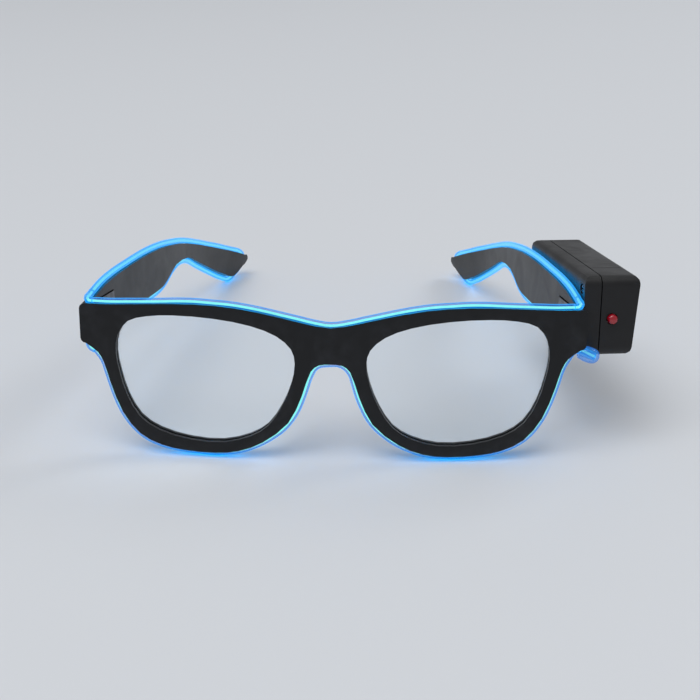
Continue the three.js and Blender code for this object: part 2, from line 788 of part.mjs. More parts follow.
// On the left temple the wire leaves the lower edge and turns into the case.
function leftTempleWirePoints() {
  const across = -fit - templeThickness / 2;
  const arc = [0, 1 / 3, 2 / 3, 1].map((share) => {
    const angle = (share * Math.PI) / 2;
    return [across + exitTurnRadius * (1 - Math.cos(angle)),
      exitPlace + exitTurnRadius * (1 - Math.sin(angle))];
  });
  arc.push([driverWall / 2, exitPlace], [driverWall + exitDepth, exitPlace]);
  const exit = arc.map(([x, y]) => fromDriver(x, y, wireExitUp()));
  const leadY = exit[0].y + exitTurnRadius;
  const lead = onTemple(leadY, heightAt(templeLine.toReversed(), leadY));
  const points = templeWirePoints();
  const beforeTurn = points.filter(
    (point, i) => i < points.length / 2 || point.y > leadY + exitTurnRadius);
  return [...beforeTurn, lead, ...exit];
}

const wireTempleSteps = 84;
const rightWireStretch = stretch(templeWirePoints(), (point) => point.y > tailY, wireTempleSteps);
const leftWireStretch = stretch(leftTempleWirePoints(), (point) => point.y > tailY, wireTempleSteps);

function temple(cutters) {
  const outline = solid(prismX(
    templeEdge(), templeX - templeLength, templeX + templeLength));
  return cut(templeSlab().intersect(outline), ...cutters);
}

// Driver, in its own frame: x out from its inner face, y back from its front face, z up from its foot

function fromDriver(x, y, z) {
  const turnedPoint = new THREE.Vector3(x, y, z).applyAxisAngle(new THREE.Vector3(0, 0, 1), splay);
  return turnedPoint.add(new THREE.Vector3(driverX, driverY, driverZ));
}

function toDriver(geometry) {
  geometry.rotateZ(splay);
  geometry.translate(driverX, driverY, driverZ);
  return geometry;
}

// The height of the wire's hole, level with the wire on the lower edge of the temple.
function wireExitUp() {
  return heightAt(templeLine.toReversed(), driverY + exitPlace) - driverZ;
}

// How deep the case is at a height above its foot.
function caseDepth(z) {
  return THREE.MathUtils.lerp(driverDepthBottom, driverDepthTop, z / driverHeight);
}

// The outline of the case in x and z, drawn in by a wall.
function caseOutline(inset) {
  const [low, high] = [inset, driverHeight - inset];
  const [lowDepth, highDepth] = [caseDepth(low) - inset, caseDepth(high) - inset];
  return rounded([[inset, low], [lowDepth, low], [highDepth, high], [inset, high]],
    driverCornerRadius - inset);
}

// The outline of the case in y and z, drawn in by a wall.
function caseSideOutline(inset) {
  const [front, back] = [inset, driverLength - inset];
  const [low, high] = [inset, driverHeight - inset];
  return rounded([[front, low], [back, low], [back, high], [front, high]], driverSideRadius - inset);
}

// An outline of four corners with its corners rounded.
function rounded(corners, radius) {
  return corners.flatMap((corner, i) => {
    const before = corners[(i + corners.length - 1) % corners.length];
    const after = corners[(i + 1) % corners.length];
    const from = stepTowards(corner, before, radius);
    const to = stepTowards(corner, after, radius);
    return [from, ...roundCorner(from, corner, to), to];
  });
}

function stepTowards(from, to, distance) {
  const share = distance / Math.hypot(to[0] - from[0], to[1] - from[1]);
  return [0, 1].map((k) => from[k] + (to[k] - from[k]) * share);
}

function caseBody(inset) {
  const along = prismY(caseOutline(inset), inset, driverLength - inset);
  return solid(along).intersect(solid(prismX(caseSideOutline(inset), -overrun, driverDepthTop + overrun)));
}

function hollowCase() {
  return caseBody(0).subtract(caseBody(driverWall));
}

// Everything between two depths and two lengths of the case.
function caseSlice(depthFrom, depthTo, lengthFrom, lengthTo) {
  return solid(block(
    [depthFrom, lengthFrom, -overrun], [depthTo, lengthTo, driverHeight + overrun]));
}

const bossHeights = [bossInset, driverHeight - bossInset];
const cellX = driverWall + fit + cellDiameter / 2;
const cellHeights = [cellX, driverHeight - cellX];
const leadHeights = [cellHeights[0] - contactSize / 3, cellHeights[1] + contactSize / 3];

function driverBase() {
  const inner = hollowCase().intersect(
    caseSlice(-overrun, baseDepth, -overrun, driverLength + overrun));
  const partition = solid(block([driverWall / 2, partitionPlace, driverWall + fit],
    [partitionDepth - fit, partitionPlace + partitionThickness, driverHeight - driverWall - fit]));
  const bosses = bossHeights.map((z) => solid(
    bar('x', bossDiameter / 2, driverWall / 2, baseDepth, [bossSetback, z], roundSides)));
  const holes = [
    ...mountScrewShares.map((share) => solid(bar('x', mountScrewDiameter / 2 + fit,
      -overrun, driverWall + overrun, [share * driverLength, mountUp()]))),
    ...bossHeights.map((z) => solid(bar('x', screwDiameter / 2 + fit,
      -overrun, baseDepth + overrun, [bossSetback, z]))),
    ...bossHeights.map((z) => solid(bar('x', caseScrewHeadDiameter / 2 + fit,
      -overrun, screwHeadHeight + 2 * fit, [bossSetback, z], roundSides))),
    ...leadHeights.map((z) => solid(bar('y', leadDiameter / 2 + fit,
      partitionPlace - overrun, partitionPlace + overrun, [leadAcross, z]))),
    solid(bar('x', grommetDiameter / 2 + fit,
      -overrun, driverWall + overrun, [exitPlace, wireExitUp()])),
  ];
  return toDriver(geometryOf(cut(join(inner, partition, ...bosses), ...holes)));
}

// Mount screws run between the two cells.
function mountUp() {
  return driverHeight / 2;
}

function driverShell() {
  const from = baseDepth + fit;
  const outer = hollowCase().intersect(caseSlice(from, driverDepthTop + overrun, -overrun, bayLength));
  const bosses = bossHeights.map((z) => solid(
    bar('x', bossDiameter / 2, from, caseDepth(z) - driverWall / 2, [bossSetback, z], roundSides)));
  const bores = bossHeights.map((z) => solid(
    bar('x', screwDiameter / 2 + fit, from - overrun, screwLength + fit, [bossSetback, z])));
  const buttonHole = solid(bar('y', buttonDiameter / 2 + fit, -overrun, driverWall + overrun,
    [buttonAcross, buttonUp], roundSides));
  return toDriver(geometryOf(cut(join(outer, ...bosses), ...bores, buttonHole)));
}

function batteryCover() {
  const from = baseDepth + fit;
  const start = bayLength + fit;
  const outer = hollowCase().intersect(
    caseSlice(from, driverDepthTop + overrun, start, driverLength + overrun));
  const lipOuter = prismY(caseOutline(driverWall + fit), start - coverLip, start + coverLip);
  const lipInner = prismY(caseOutline(driverWall + fit + coverLipThickness),
    start - coverLip - fit, start + coverLip + fit);
  const bridge = solid(prismY(caseOutline(driverWall / 2), start, start + coverLip)).subtract(
    solid(prismY(caseOutline(driverWall + fit + coverLipThickness), start - fit, start + coverLip + fit)));
  const beyond = caseSlice(partitionDepth + fit, driverDepthTop, -overrun, driverLength);
  const cellRuns = cellHeights.map((z) => solid(
    bar('y', cellDiameter / 2 + fit, 0, driverLength, [cellX, z], roundSides)));
  const ring = solid(lipOuter).subtract(solid(lipInner));
  const lip = cut(join(ring, bridge).intersect(beyond), ...cellRuns);
  const ribs = [];
  for (let i = 0; i < coverRibCount; i += 1) {
    ribs.push(solid(coverRib(driverLength - driverCornerRadius - (i + 1) * coverRibPitch)));
  }
  return toDriver(geometryOf(join(outer, lip, ...ribs)));
}

// A rib on the sloping outer face of the cover, for the thumb.
function coverRib(y) {
  const slope = Math.atan2(driverDepthTop - driverDepthBottom, driverHeight);
  const rib = block([-coverRibHeight, -coverRibWidth / 2, -coverRibLength / 2],
    [coverRibHeight, coverRibWidth / 2, coverRibLength / 2]);
  rib.rotateY(slope);
  rib.translate(caseDepth(driverHeight / 2), y, driverHeight / 2);
  return rib;
}

function pushButton() {
  const [cap, flange, stem] = [buttonDiameter / 2, buttonFlangeDiameter / 2, buttonStemDiameter / 2];
  const wallBack = driverWall + fit;
  const flangeBack = wallBack + buttonFlangeThickness;
  const [faceWidth, sideStart] = buttonFaceShares;
  const button = turned([[0, -buttonStand], [cap * faceWidth, -buttonStand],
    [cap, -buttonStand * sideStart], [cap, wallBack], [flange, wallBack], [flange, flangeBack],
    [stem, flangeBack], [stem, flangeBack + buttonStemLength], [0, flangeBack + buttonStemLength]]);
  button.translate(buttonAcross, 0, buttonUp);
  return toDriver(button);
}

function tactSwitch() {
  const back = boardPlace - fit;
  const half = switchWidth / 2;
  const body = solid(block([buttonAcross - half, back - switchDepth, buttonUp - half],
    [buttonAcross + half, back, buttonUp + half]));
  const bore = solid(bar('y', buttonStemDiameter / 2 + fit, back - switchDepth - overrun,
    back - switchDepth + switchBoreDepth, [buttonAcross, buttonUp]));
  return toDriver(geometryOf(body.subtract(bore)));
}

function circuitBoard() {
  const low = (driverHeight - boardHeight) / 2;
  const edge = driverWall + fit;
  const back = boardPlace + boardThickness;
  return toDriver(block([edge, boardPlace, low], [edge + boardWidth, back, low + boardHeight]));
}

const boardBack = boardPlace + boardThickness + fit;

function inverterCoil() {
  const [full, core] = [coilDiameter / 2, coilCoreDiameter / 2];
  const flange = coilHeight - coilFlange;
  const coil = turned([[0, 0], [full, 0], [full, coilFlange], [core, coilFlange],
    [core, flange], [full, flange], [full, coilHeight], [0, coilHeight]]);
  coil.translate(cellX, boardBack, buttonUp + coilDiameter * 3 / 4);
  return toDriver(coil);
}

function capacitor() {
  const low = buttonUp - switchWidth / 2 - 2 * fit - capacitorHeight;
  const half = capacitorWidth / 2;
  const back = boardPlace - fit;
  return toDriver(block(
    [cellX - half, back - capacitorDepth, low], [cellX + half, back, low + capacitorHeight]));
}

function transistor() {
  const round = solid(bar('y', transistorDiameter / 2, boardBack, boardBack + transistorHeight,
    [cellX, buttonUp - transistorDiameter / 2], roundSides));
  const reach = transistorDiameter;
  const half = block(
    [cellX - transistorFlat, 0, buttonUp - 2 * reach], [cellX + reach, driverLength, buttonUp + reach]);
  return toDriver(geometryOf(round.intersect(solid(half))));
}

// A cell with its nub towards the front or the rear of the case.
function cell(start, z, nubToFront) {
  const [full, nub, body] = [cellDiameter / 2, cellNubDiameter / 2, cellLength - cellNubLength];
  const edge = cellNubLength / 2;
  const shape = turned([[0, 0], [full - edge, 0], [full, edge], [full, body - edge],
    [full - edge, body], [nub, body], [nub, cellLength], [0, cellLength]]);
  if (nubToFront) {
    shape.rotateX(Math.PI);
    shape.translate(0, cellLength, 0);
  }
  shape.translate(cellX, start, z);
  return toDriver(shape);
}

function contact(start, z) {
  const half = contactSize / 2;
  return block([cellX - half, start, z - half], [cellX + half, start + contactThickness, z + half]);
}

function rearContact() {
  const half = contactSize / 2;
  return block([cellX - half, rearContactPlace, cellHeights[0] - half],
    [cellX + half, rearContactPlace + contactThickness, cellHeights[1] + half]);
}

// A flat coil spring between a contact and a cell.
function contactSpring(start, z) {
  const steps = springTurns * wireSides;
  const radius = (springDiameter - springWire) / 2;
  const rise = springLength - springWire;
  const points = [];
  for (let i = 0; i <= steps; i += 1) {
    const angle = (2 * Math.PI * i) / wireSides;
    points.push(new THREE.Vector3(
      cellX + radius * Math.cos(angle),
      start + springWire / 2 + (rise * i) / steps,
      z + radius * Math.sin(angle)));
  }
  return toDriver(tube(points, springWire / 2, steps, springSides));
}

const leadSteps = 4;

function leadWire(z) {
  const ends = [boardBack, contactPlace - fit];
  const points = ends.map((y) => new THREE.Vector3(leadAcross, y, z));
  return toDriver(tube(points, leadDiameter / 2, leadSteps));
}

// A case screw's head is sunk in the base, level with its inner face.
function caseScrew(z) {
  const head = caseScrewHeadDiameter / 2;
  const shank = screwDiameter / 2;
  const seat = fit + screwHeadHeight;
  const screw = turned([[0, fit], [head, fit], [head, seat], [shank, seat],
    [shank, screwLength], [0, screwLength]], smallSides);
  turnToAxis(screw, 'x');
  screw.translate(0, bossSetback, z);
  return toDriver(screw);
}

// A mount screw comes from inside the case into the temple.
function mountScrew(share) {
  const head = screwHeadDiameter / 2;
  const shank = mountScrewDiameter / 2;
  const seat = driverWall + fit;
  const end = -fit - mountScrewBite;
  const screw = turned([[0, end], [shank, end], [shank, seat], [head, seat],
    [head, seat + screwHeadHeight], [0, seat + screwHeadHeight]], smallSides);
  turnToAxis(screw, 'x');
  screw.translate(0, share * driverLength, mountUp());
  return toDriver(screw);
}

function mountScrewHoles() {
  return mountScrewShares.map((share) => solid(toDriver(bar('x', mountScrewDiameter / 2 + fit,
    -mountScrewBite - 2 * fit, 0, [share * driverLength, mountUp()]))));
}

function grommet() {
  const [bore, body, end] = [wireRadius + fit, grommetDiameter / 2, driverWall + grommetLip];
  const ring = turned([[bore, 0], [body, 0], [body, end], [bore, end], [bore, 0]]);
  turnToAxis(ring, 'x');
  ring.translate(0, exitPlace, wireExitUp());
  return toDriver(ring);
}

// The whole, as worn

const worn = new THREE.Group();

function frontGroup() {
  const group = new THREE.Group();
  group.add(named('front_frame', frontFrame(), 'plastic'));
  group.add(named('lens_left', lens(), 'lens'));
  group.add(named('lens_right', otherSide(lens()), 'lens'));
  group.add(named('front_hinge_left', frontHinge(), 'steel'));
  group.add(named('front_hinge_right', otherSide(frontHinge()), 'steel'));
  group.add(named('hinge_screw_left', hingeScrew(), 'steel'));
  group.add(named('hinge_screw_right', otherSide(hingeScrew()), 'steel'));
  group.add(named('wire_front_top', tube(topStretch, wireRadius, wireTopSteps), 'glow'));
  group.add(named('wire_front_bottom', tube(bottomStretch, wireRadius, wireBottomSteps), 'glow'));
  group.add(named('wire_end_cap', endCap(), 'clear'));
  const topCorner = tube(topCornerStretch, wireRadius, cornerSteps);
  const lowCorner = tube(lowCornerStretch, wireRadius, cornerSteps);
  group.add(named('wire_corner_top_left', topCorner, 'glow'));
  group.add(named('wire_corner_top_right', otherSide(topCorner), 'glow'));
  group.add(named('wire_corner_low_right', otherSide(lowCorner), 'glow'));
  return group;
}

function templeGroup() {
  const group = new THREE.Group();
  const plate = solid(templePlate(fit));
  const corners = [topCornerStretch, lowCornerStretch].map((places) => solid(grooveAlong(places)));
  const right = temple([solid(grooveAlong(rightWireStretch)), plate, ...corners]);
  const left = temple([solid(grooveAlong(leftWireStretch)), plate, corners[0], ...mountScrewHoles()]);
  group.add(named('temple_left', geometryOf(left), 'plastic'));
  group.add(named('temple_right', otherSide(geometryOf(right)), 'plastic'));
  group.add(named('temple_hinge_left', templeHinge(), 'steel'));
  group.add(named('temple_hinge_right', otherSide(templeHinge()), 'steel'));
  group.add(named('wire_temple_left', tube(leftWireStretch, wireRadius, wireTempleSteps), 'glow'));
  group.add(named('wire_temple_right',
    otherSide(tube(rightWireStretch, wireRadius, wireTempleSteps)), 'glow'));
  return group;
}

function driverGroup() {
  const group = new THREE.Group();
  const [lowCell, highCell] = cellHeights;
  const rear = rearContactPlace - fit;
  group.add(named('driver_base', driverBase(), 'caseBlack'));
  group.add(named('driver_shell', driverShell(), 'caseBlack'));
  group.add(named('battery_cover', batteryCover(), 'caseBlack'));
  group.add(named('push_button', pushButton(), 'red'));
  group.add(named('tact_switch', tactSwitch(), 'dark'));
  group.add(named('circuit_board', circuitBoard(), 'board'));
  group.add(named('inverter_coil', inverterCoil(), 'copper'));
  group.add(named('capacitor', capacitor(), 'cream'));
  group.add(named('transistor', transistor(), 'dark'));
  group.add(named('battery_upper', cell(cellStart, highCell, true), 'cell'));
  group.add(named('battery_lower', cell(rear - cellLength, lowCell, false), 'cell'));
  group.add(named('contact_front_upper', toDriver(contact(contactPlace, highCell)), 'steel'));
  group.add(named('contact_front_lower', toDriver(contact(contactPlace, lowCell)), 'steel'));
  group.add(named('contact_plate_rear', toDriver(rearContact()), 'steel'));
  group.add(named('spring_front_lower', contactSpring(cellStart, lowCell), 'steel'));
  group.add(named('spring_rear_upper', contactSpring(rear - springLength, highCell), 'steel'));
  group.add(named('lead_wire_negative', leadWire(leadHeights[0]), 'dark'));
  group.add(named('lead_wire_positive', leadWire(leadHeights[1]), 'redLead'));
  group.add(named('case_screw_lower', caseScrew(bossHeights[0]), 'steel'));
  group.add(named('case_screw_upper', caseScrew(bossHeights[1]), 'steel'));
  group.add(named('mount_screw_front', mountScrew(mountScrewShares[0]), 'steel'));
  group.add(named('mount_screw_rear', mountScrew(mountScrewShares[1]), 'steel'));
  group.add(named('wire_grommet', grommet(), 'rubber'));
  return group;
}

worn.add(frontGroup(), templeGroup(), driverGroup());

// The tip angle at which the lowest point of the front's wire and of the temple wires are level.
function restAngle() {
  const front = wireBottomPoints();
  const back = templeWirePoints().filter((point) => point.y > templeY + templeLength / 2);
  let angle = 0;
  for (let pass = 0; pass < wireSides; pass += 1) {
    const height = (point) => point.z * Math.cos(angle) - point.y * Math.sin(angle);
    const lowest = (points) => points.reduce((low, point) => (height(point) < height(low) ? point : low));
    const [foot, heel] = [lowest(front), lowest(back)];
    angle = Math.atan2(heel.z - foot.z, heel.y - foot.y);
  }
  return angle;
}

worn.rotation.x = -restAngle();

const glasses = new THREE.Group();
glasses.add(worn);
glasses.updateMatrixWorld(true);

const room = new THREE.Box3().setFromObject(glasses, true);
const middle = room.getCenter(new THREE.Vector3());
worn.position.set(-middle.x, -middle.y, -room.min.z);

export default glasses;
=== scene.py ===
"""Light up party glasses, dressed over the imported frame.

The scene is in metres, in the frame that the CAD uses: +Z up, +X to the wearer's left. Routes,
profiles and places in the driver are written in millimetres. Left and right are the wearer's, so
the battery driver, on the left temple, is at the right of the picture.
"""

import json
import math

import bmesh
import bpy
from mathutils import Matrix, Vector


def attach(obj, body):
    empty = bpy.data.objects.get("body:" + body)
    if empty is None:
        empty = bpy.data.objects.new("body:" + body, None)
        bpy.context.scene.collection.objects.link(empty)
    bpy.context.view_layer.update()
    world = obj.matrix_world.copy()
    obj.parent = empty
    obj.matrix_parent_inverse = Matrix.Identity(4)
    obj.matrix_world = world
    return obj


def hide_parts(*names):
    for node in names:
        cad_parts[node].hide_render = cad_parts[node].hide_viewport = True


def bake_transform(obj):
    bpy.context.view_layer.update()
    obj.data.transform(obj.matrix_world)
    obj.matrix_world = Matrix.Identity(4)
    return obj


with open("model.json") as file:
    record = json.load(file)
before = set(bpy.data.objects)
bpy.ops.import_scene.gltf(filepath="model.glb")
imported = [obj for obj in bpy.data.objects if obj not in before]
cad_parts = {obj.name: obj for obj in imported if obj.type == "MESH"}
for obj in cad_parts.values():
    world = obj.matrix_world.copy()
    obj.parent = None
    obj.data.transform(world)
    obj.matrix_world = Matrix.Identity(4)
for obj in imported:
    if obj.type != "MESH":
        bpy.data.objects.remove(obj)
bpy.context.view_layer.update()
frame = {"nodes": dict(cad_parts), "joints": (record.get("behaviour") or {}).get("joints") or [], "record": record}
mm = 0.001

# Camera. It stands where the photograph was taken from, almost straight in front of the glasses
# and well above them. Its place comes from a fit to matching points on their two sides.

camera_target = Vector((-7.95, -76.36, 24.92)) * mm
camera_distance = 380.1 * mm
camera_turn = math.radians(2.78)
camera_rise = math.radians(24.52)
camera_roll = math.radians(0.2)
picture_side = 700  # in pixels, as are the focal length and where the target shows
focal_length = 1300
target_across, target_down = 330.7, 378.2
sensor_side = 36
nearest_seen, farthest_seen = 0.01, 100

behind = Vector((math.sin(camera_turn) * math.cos(camera_rise),
                 -math.cos(camera_turn) * math.cos(camera_rise), math.sin(camera_rise)))
level = Vector((math.cos(camera_turn), math.sin(camera_turn), 0))
overhead = behind.cross(level)
picture_right = level * math.cos(camera_roll) - overhead * math.sin(camera_roll)
picture_up = level * math.sin(camera_roll) + overhead * math.cos(camera_roll)
lens_data = bpy.data.cameras.new("camera")
lens_data.sensor_width = sensor_side
lens_data.lens = focal_length * sensor_side / picture_side
lens_data.shift_x = (picture_side / 2 - target_across) / picture_side
lens_data.shift_y = (target_down - picture_side / 2) / picture_side
lens_data.clip_start, lens_data.clip_end = nearest_seen, farthest_seen
camera = bpy.data.objects.new("camera", lens_data)
bpy.context.scene.collection.objects.link(camera)
turn_to_camera = Matrix((picture_right, picture_up, behind)).transposed().to_4x4()
camera.matrix_world = Matrix.Translation(camera_target + behind * camera_distance) @ turn_to_camera
bpy.context.scene.camera = camera
bpy.context.scene.view_settings.view_transform = "Standard"

# Front. One moulding of black plastic with a soft gloss: two rims, bridge, nose pads and end
# pieces, with a groove for the wire round its edges. Its corners are a little rounded.

front_bevel = 0.3 * mm
bevel_steps = 2
broad_face_weight = 80  # how much a broad face counts in the shading, against the bevels beside it
flat_angle, smooth_angle = math.radians(0.3), math.radians(35)
weld_distance = 0.001 * mm
frame_black = (0.005, 0.0055, 0.007)
frame_rubbed = (0.013, 0.014, 0.017)

body_of_node = {
    node: body for body, nodes in frame["record"]["behaviour"]["bodies"].items() for node in nodes}


def add_node(tree, kind, feeds=(), **settings):
    """Adds a node. feeds gives each input a value, or another node's output to link to it."""
    made = tree.nodes.new(kind)
    for setting, value in settings.items():
        setattr(made, setting, value)
    for socket, value in dict(feeds).items():
        if isinstance(value, bpy.types.NodeSocket):
            tree.links.new(value, made.inputs[socket])
        else:
            made.inputs[socket].default_value = value
    return made


def new_effect(name, takes, gives):
    """An empty node group with named number inputs, given as name: value, and named outputs."""
    tree = bpy.data.node_groups.new(name, "ShaderNodeTree")
    for socket, value in takes.items():
        made = tree.interface.new_socket(socket, in_out="INPUT", socket_type="NodeSocketFloat")
        made.default_value = value
    for socket, kind in gives.items():
        tree.interface.new_socket(socket, in_out="OUTPUT", socket_type=f"NodeSocket{kind}")
    return tree, tree.nodes.new("NodeGroupInput"), tree.nodes.new("NodeGroupOutput")


def edge_wear_and_glint_effect():
    """White on proud corners, broken up by noise: worn, and on the steel painted glints."""
    tree, given, result = new_effect(
        "worn and glinting edges", {"Start": 0.52, "Full": 0.7, "Patch scale": 300}, {"Mask": "Float"})
    place = add_node(tree, "ShaderNodeTexCoord")
    corner = add_node(tree, "ShaderNodeNewGeometry")
    proud = add_node(tree, "ShaderNodeMapRange", {
        "Value": corner.outputs["Pointiness"],
        "From Min": given.outputs["Start"], "From Max": given.outputs["Full"]})
    patches = add_node(tree, "ShaderNodeTexNoise", {
        "Vector": place.outputs["Object"], "Scale": given.outputs["Patch scale"], "Detail": 4})
    broken = add_node(tree, "ShaderNodeMapRange", {
        "Value": patches.outputs["Fac"], "From Min": 0.35, "From Max": 0.7})
    mask = add_node(tree, "ShaderNodeMath", {
        0: proud.outputs["Result"], 1: broken.outputs["Result"]}, operation="MULTIPLY")
    tree.links.new(mask.outputs["Value"], result.inputs["Mask"])
    return tree


def handling_effect():
    """How rough a touched surface is, in the soft smears that fingers leave."""
    tree, given, result = new_effect(
        "handling", {"Clean": 0.2, "Smeared": 0.35, "Smear scale": 60}, {"Roughness": "Float"})
    place = add_node(tree, "ShaderNodeTexCoord")
    smears = add_node(tree, "ShaderNodeTexNoise", {
        "Vector": place.outputs["Object"], "Scale": given.outputs["Smear scale"],
        "Detail": 5, "Roughness": 0.6, "Distortion": 0.8})
    roughness = add_node(tree, "ShaderNodeMapRange", {
        "Value": smears.outputs["Fac"], "From Min": 0.35, "From Max": 0.68,
        "To Min": given.outputs["Clean"], "To Max": given.outputs["Smeared"]})
    tree.links.new(roughness.outputs["Result"], result.inputs["Roughness"])
    return tree


def grain_effect():
    """The fine grain that a mould leaves, as the height of a bump."""
    tree, given, result = new_effect("mould grain", {"Scale": 2000}, {"Height": "Float"})
    place = add_node(tree, "ShaderNodeTexCoord")
    fine = add_node(tree, "ShaderNodeTexNoise", {
        "Vector": place.outputs["Object"], "Scale": given.outputs["Scale"],
        "Detail": 3, "Roughness": 0.7})
    tree.links.new(fine.outputs["Fac"], result.inputs["Height"])
    return tree


edge_wear_and_glint, handling, mould_grain = edge_wear_and_glint_effect(), handling_effect(), grain_effect()


def finish_material(name, **shader):
    """A material with one Principled shader. Its plain values are set on its own sockets."""
    material = bpy.data.materials.new(name)
    material.use_nodes = True
    tree = material.node_tree
    principled = tree.nodes["Principled BSDF"]
    for socket, value in shader.items():
        principled.inputs[socket.replace("_", " ")].default_value = value
    return material, tree, principled


def touch(tree, principled, clean, smeared):
    """Lays the smears of handling on a material, between two values of roughness."""
    touched = add_node(
        tree, "ShaderNodeGroup", {"Clean": clean, "Smeared": smeared}, node_tree=handling)
    tree.links.new(touched.outputs["Roughness"], principled.inputs["Roughness"])


def corner_tinted_material(name, colour, corner_colour, clean, smeared, **shader):
    """A material with smears and another colour on proud corners: worn, and on the steel a painted glint."""
    material, tree, principled = finish_material(name, **shader)
    worn_and_glinting = add_node(tree, "ShaderNodeGroup", node_tree=edge_wear_and_glint)
    tint = add_node(tree, "ShaderNodeMix", {
        "Factor": worn_and_glinting.outputs["Mask"], 6: (*colour, 1), 7: (*corner_colour, 1)}, data_type="RGBA")
    tree.links.new(tint.outputs[2], principled.inputs["Base Color"])
    touch(tree, principled, clean, smeared)
    return material, tree, principled


def plastic(name, colour, corner_colour, clean, smeared, grain, grain_height, **shader):
    """Moulded plastic: the worn and smeared material, with the grain of its mould."""
    material, tree, principled = corner_tinted_material(name, colour, corner_colour, clean, smeared, **shader)
    fine = add_node(tree, "ShaderNodeGroup", {"Scale": grain}, node_tree=mould_grain)
    bump = add_node(tree, "ShaderNodeBump", {
        "Height": fine.outputs["Height"], "Strength": 0.5, "Distance": grain_height})
    tree.links.new(bump.outputs["Normal"], principled.inputs["Normal"])
    return material


def place_piece(name, mesh, material, slot, body, *stands_for):
    """Puts a finished mesh in the scene, riding on a body and standing for CAD nodes."""
    mesh.materials.clear()
    mesh.materials.append(material)
    piece = bpy.data.objects.new(name, mesh)
    bpy.context.scene.collection.objects.link(piece)
    if body:
        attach(piece, body)
    if stands_for:
        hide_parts(*stands_for)
    return piece


def welded(node):
    """A copy of a CAD node's mesh, with its loose triangles joined up into whole flat faces."""
    solid = bmesh.new()
    solid.from_mesh(frame["nodes"][node].data)
    bmesh.ops.remove_doubles(solid, verts=solid.verts, dist=weld_distance)
    bmesh.ops.dissolve_limit(solid, angle_limit=flat_angle, verts=solid.verts, edges=solid.edges)
    mesh = bpy.data.meshes.new(node)
    solid.to_mesh(mesh)
    solid.free()
    return mesh


def settle(piece):
    """Applies a piece's modifiers."""
    bpy.context.view_layer.update()
    shaped = piece.evaluated_get(bpy.context.evaluated_depsgraph_get())
    mesh = bpy.data.meshes.new_from_object(shaped)
    piece.modifiers.clear()
    piece.data = mesh
    return piece


def shade(piece):
    """Smooth faces, with sharp edges left sharp."""
    for face in piece.data.polygons:
        face.use_smooth = True
    piece.data.set_sharp_from_angle(angle=smooth_angle)
    return piece


def dressed(name, node, material, slot, bevel):
    """A hard piece in a CAD node's shape, its round faces smooth and its corners taken off, if asked."""
    piece = place_piece(name, welded(node), material, slot, body_of_node[node], node)
    if not bevel:
        return shade(piece)
    corner = piece.modifiers.new("corner", "BEVEL")
    corner.width = bevel
    corner.segments = bevel_steps
    corner.limit_method = "ANGLE"
    corner.angle_limit = smooth_angle
    shade(settle(piece))
    even = piece.modifiers.new("even", "WEIGHTED_NORMAL")
    even.keep_sharp = True
    even.weight = broad_face_weight
    return settle(piece)


frame_plastic = plastic(
    "frame plastic", frame_black, frame_rubbed, clean=0.3, smeared=0.4, grain=2500,
    grain_height=0.006 * mm, Specular_IOR_Level=0.3)
dressed("front_moulding", "front_frame", frame_plastic, "frame_plastic", front_bevel)

# Lenses. Thin clear polycarbonate, bent to the front's curve and snapped into a groove inside
# each rim. They are bare, with faint smears.

lens_clear = (0.93, 0.965, 0.985)
lens_shadow = (0.9, 0.93, 0.95)
lens_index = 1.58


def clear_material(name, tint, shadow, index, clean, smeared):
    """A clear solid that bends light, and lets the lamps' light through to what it stands on."""
    material, tree, principled = finish_material(
        name, Transmission_Weight=1, IOR=index, Base_Color=(*tint, 1))
    touch(tree, principled, clean, smeared)
    ray = add_node(tree, "ShaderNodeLightPath")
    through = add_node(tree, "ShaderNodeBsdfTransparent", {"Color": (*shadow, 1)})
    either = add_node(tree, "ShaderNodeMixShader", {
        0: ray.outputs["Is Shadow Ray"], 1: principled.outputs["BSDF"], 2: through.outputs["BSDF"]})
    tree.links.new(either.outputs["Shader"], tree.nodes["Material Output"].inputs["Surface"])
    return material


lens_plastic = clear_material(
    "clear lens", lens_clear, lens_shadow, lens_index, clean=0.015, smeared=0.06)
for side in ("left", "right"):
    dressed(f"clear_lens_{side}", f"lens_{side}", lens_plastic, "lens", bevel=0)

# Hinges. Plated steel: a two-knuckle plate pressed into each end piece, a one-knuckle plate
# pressed into each temple, and a screw with a cross in its head for a pin.

hinge_bevel = 0.12 * mm
# Painted light on the steel: a dark colour for the dark that polished plate reflects, and a bright one for glints
# on its corners.
steel_painted_dark = (0.06, 0.062, 0.067)
steel_painted_glint = (0.62, 0.63, 0.65)
brush_stretch = 30  # how much longer than wide a brush mark is
pin_radius, pin_reach = 0.8, 4.5  # in millimetres, as in every lathe's profile here
pin_tip_share, pin_tip_length = 0.7, 0.25
head_radius, head_height = 1.6, 0.8
head_rounding = [(1, 0.35), (0.92, 0.15), (0.7, 0)]  # share of its radius, depth below its crown
cross_reach, cross_width, cross_depth = 1.0, 0.3, 0.45
turning_steps = 40


def metal(name, colour, corner_colour, clean, smeared, brush_scale, brush_height):
    """Plated or bare metal, smeared and brushed, with proud corners worn, and on the steel painted glints."""
    material, tree, principled = corner_tinted_material(name, colour, corner_colour, clean, smeared, Metallic=1)
    place = add_node(tree, "ShaderNodeTexCoord")
    drawn = add_node(tree, "ShaderNodeMapping", {
        "Vector": place.outputs["Object"],
        "Scale": (brush_scale, brush_scale, brush_scale / brush_stretch)})
    marks = add_node(tree, "ShaderNodeTexNoise", {"Vector": drawn.outputs["Vector"], "Scale": 1})
    bump = add_node(tree, "ShaderNodeBump", {
        "Height": marks.outputs["Fac"], "Strength": 0.4, "Distance": brush_height})
    tree.links.new(bump.outputs["Normal"], principled.inputs["Normal"])
    return material


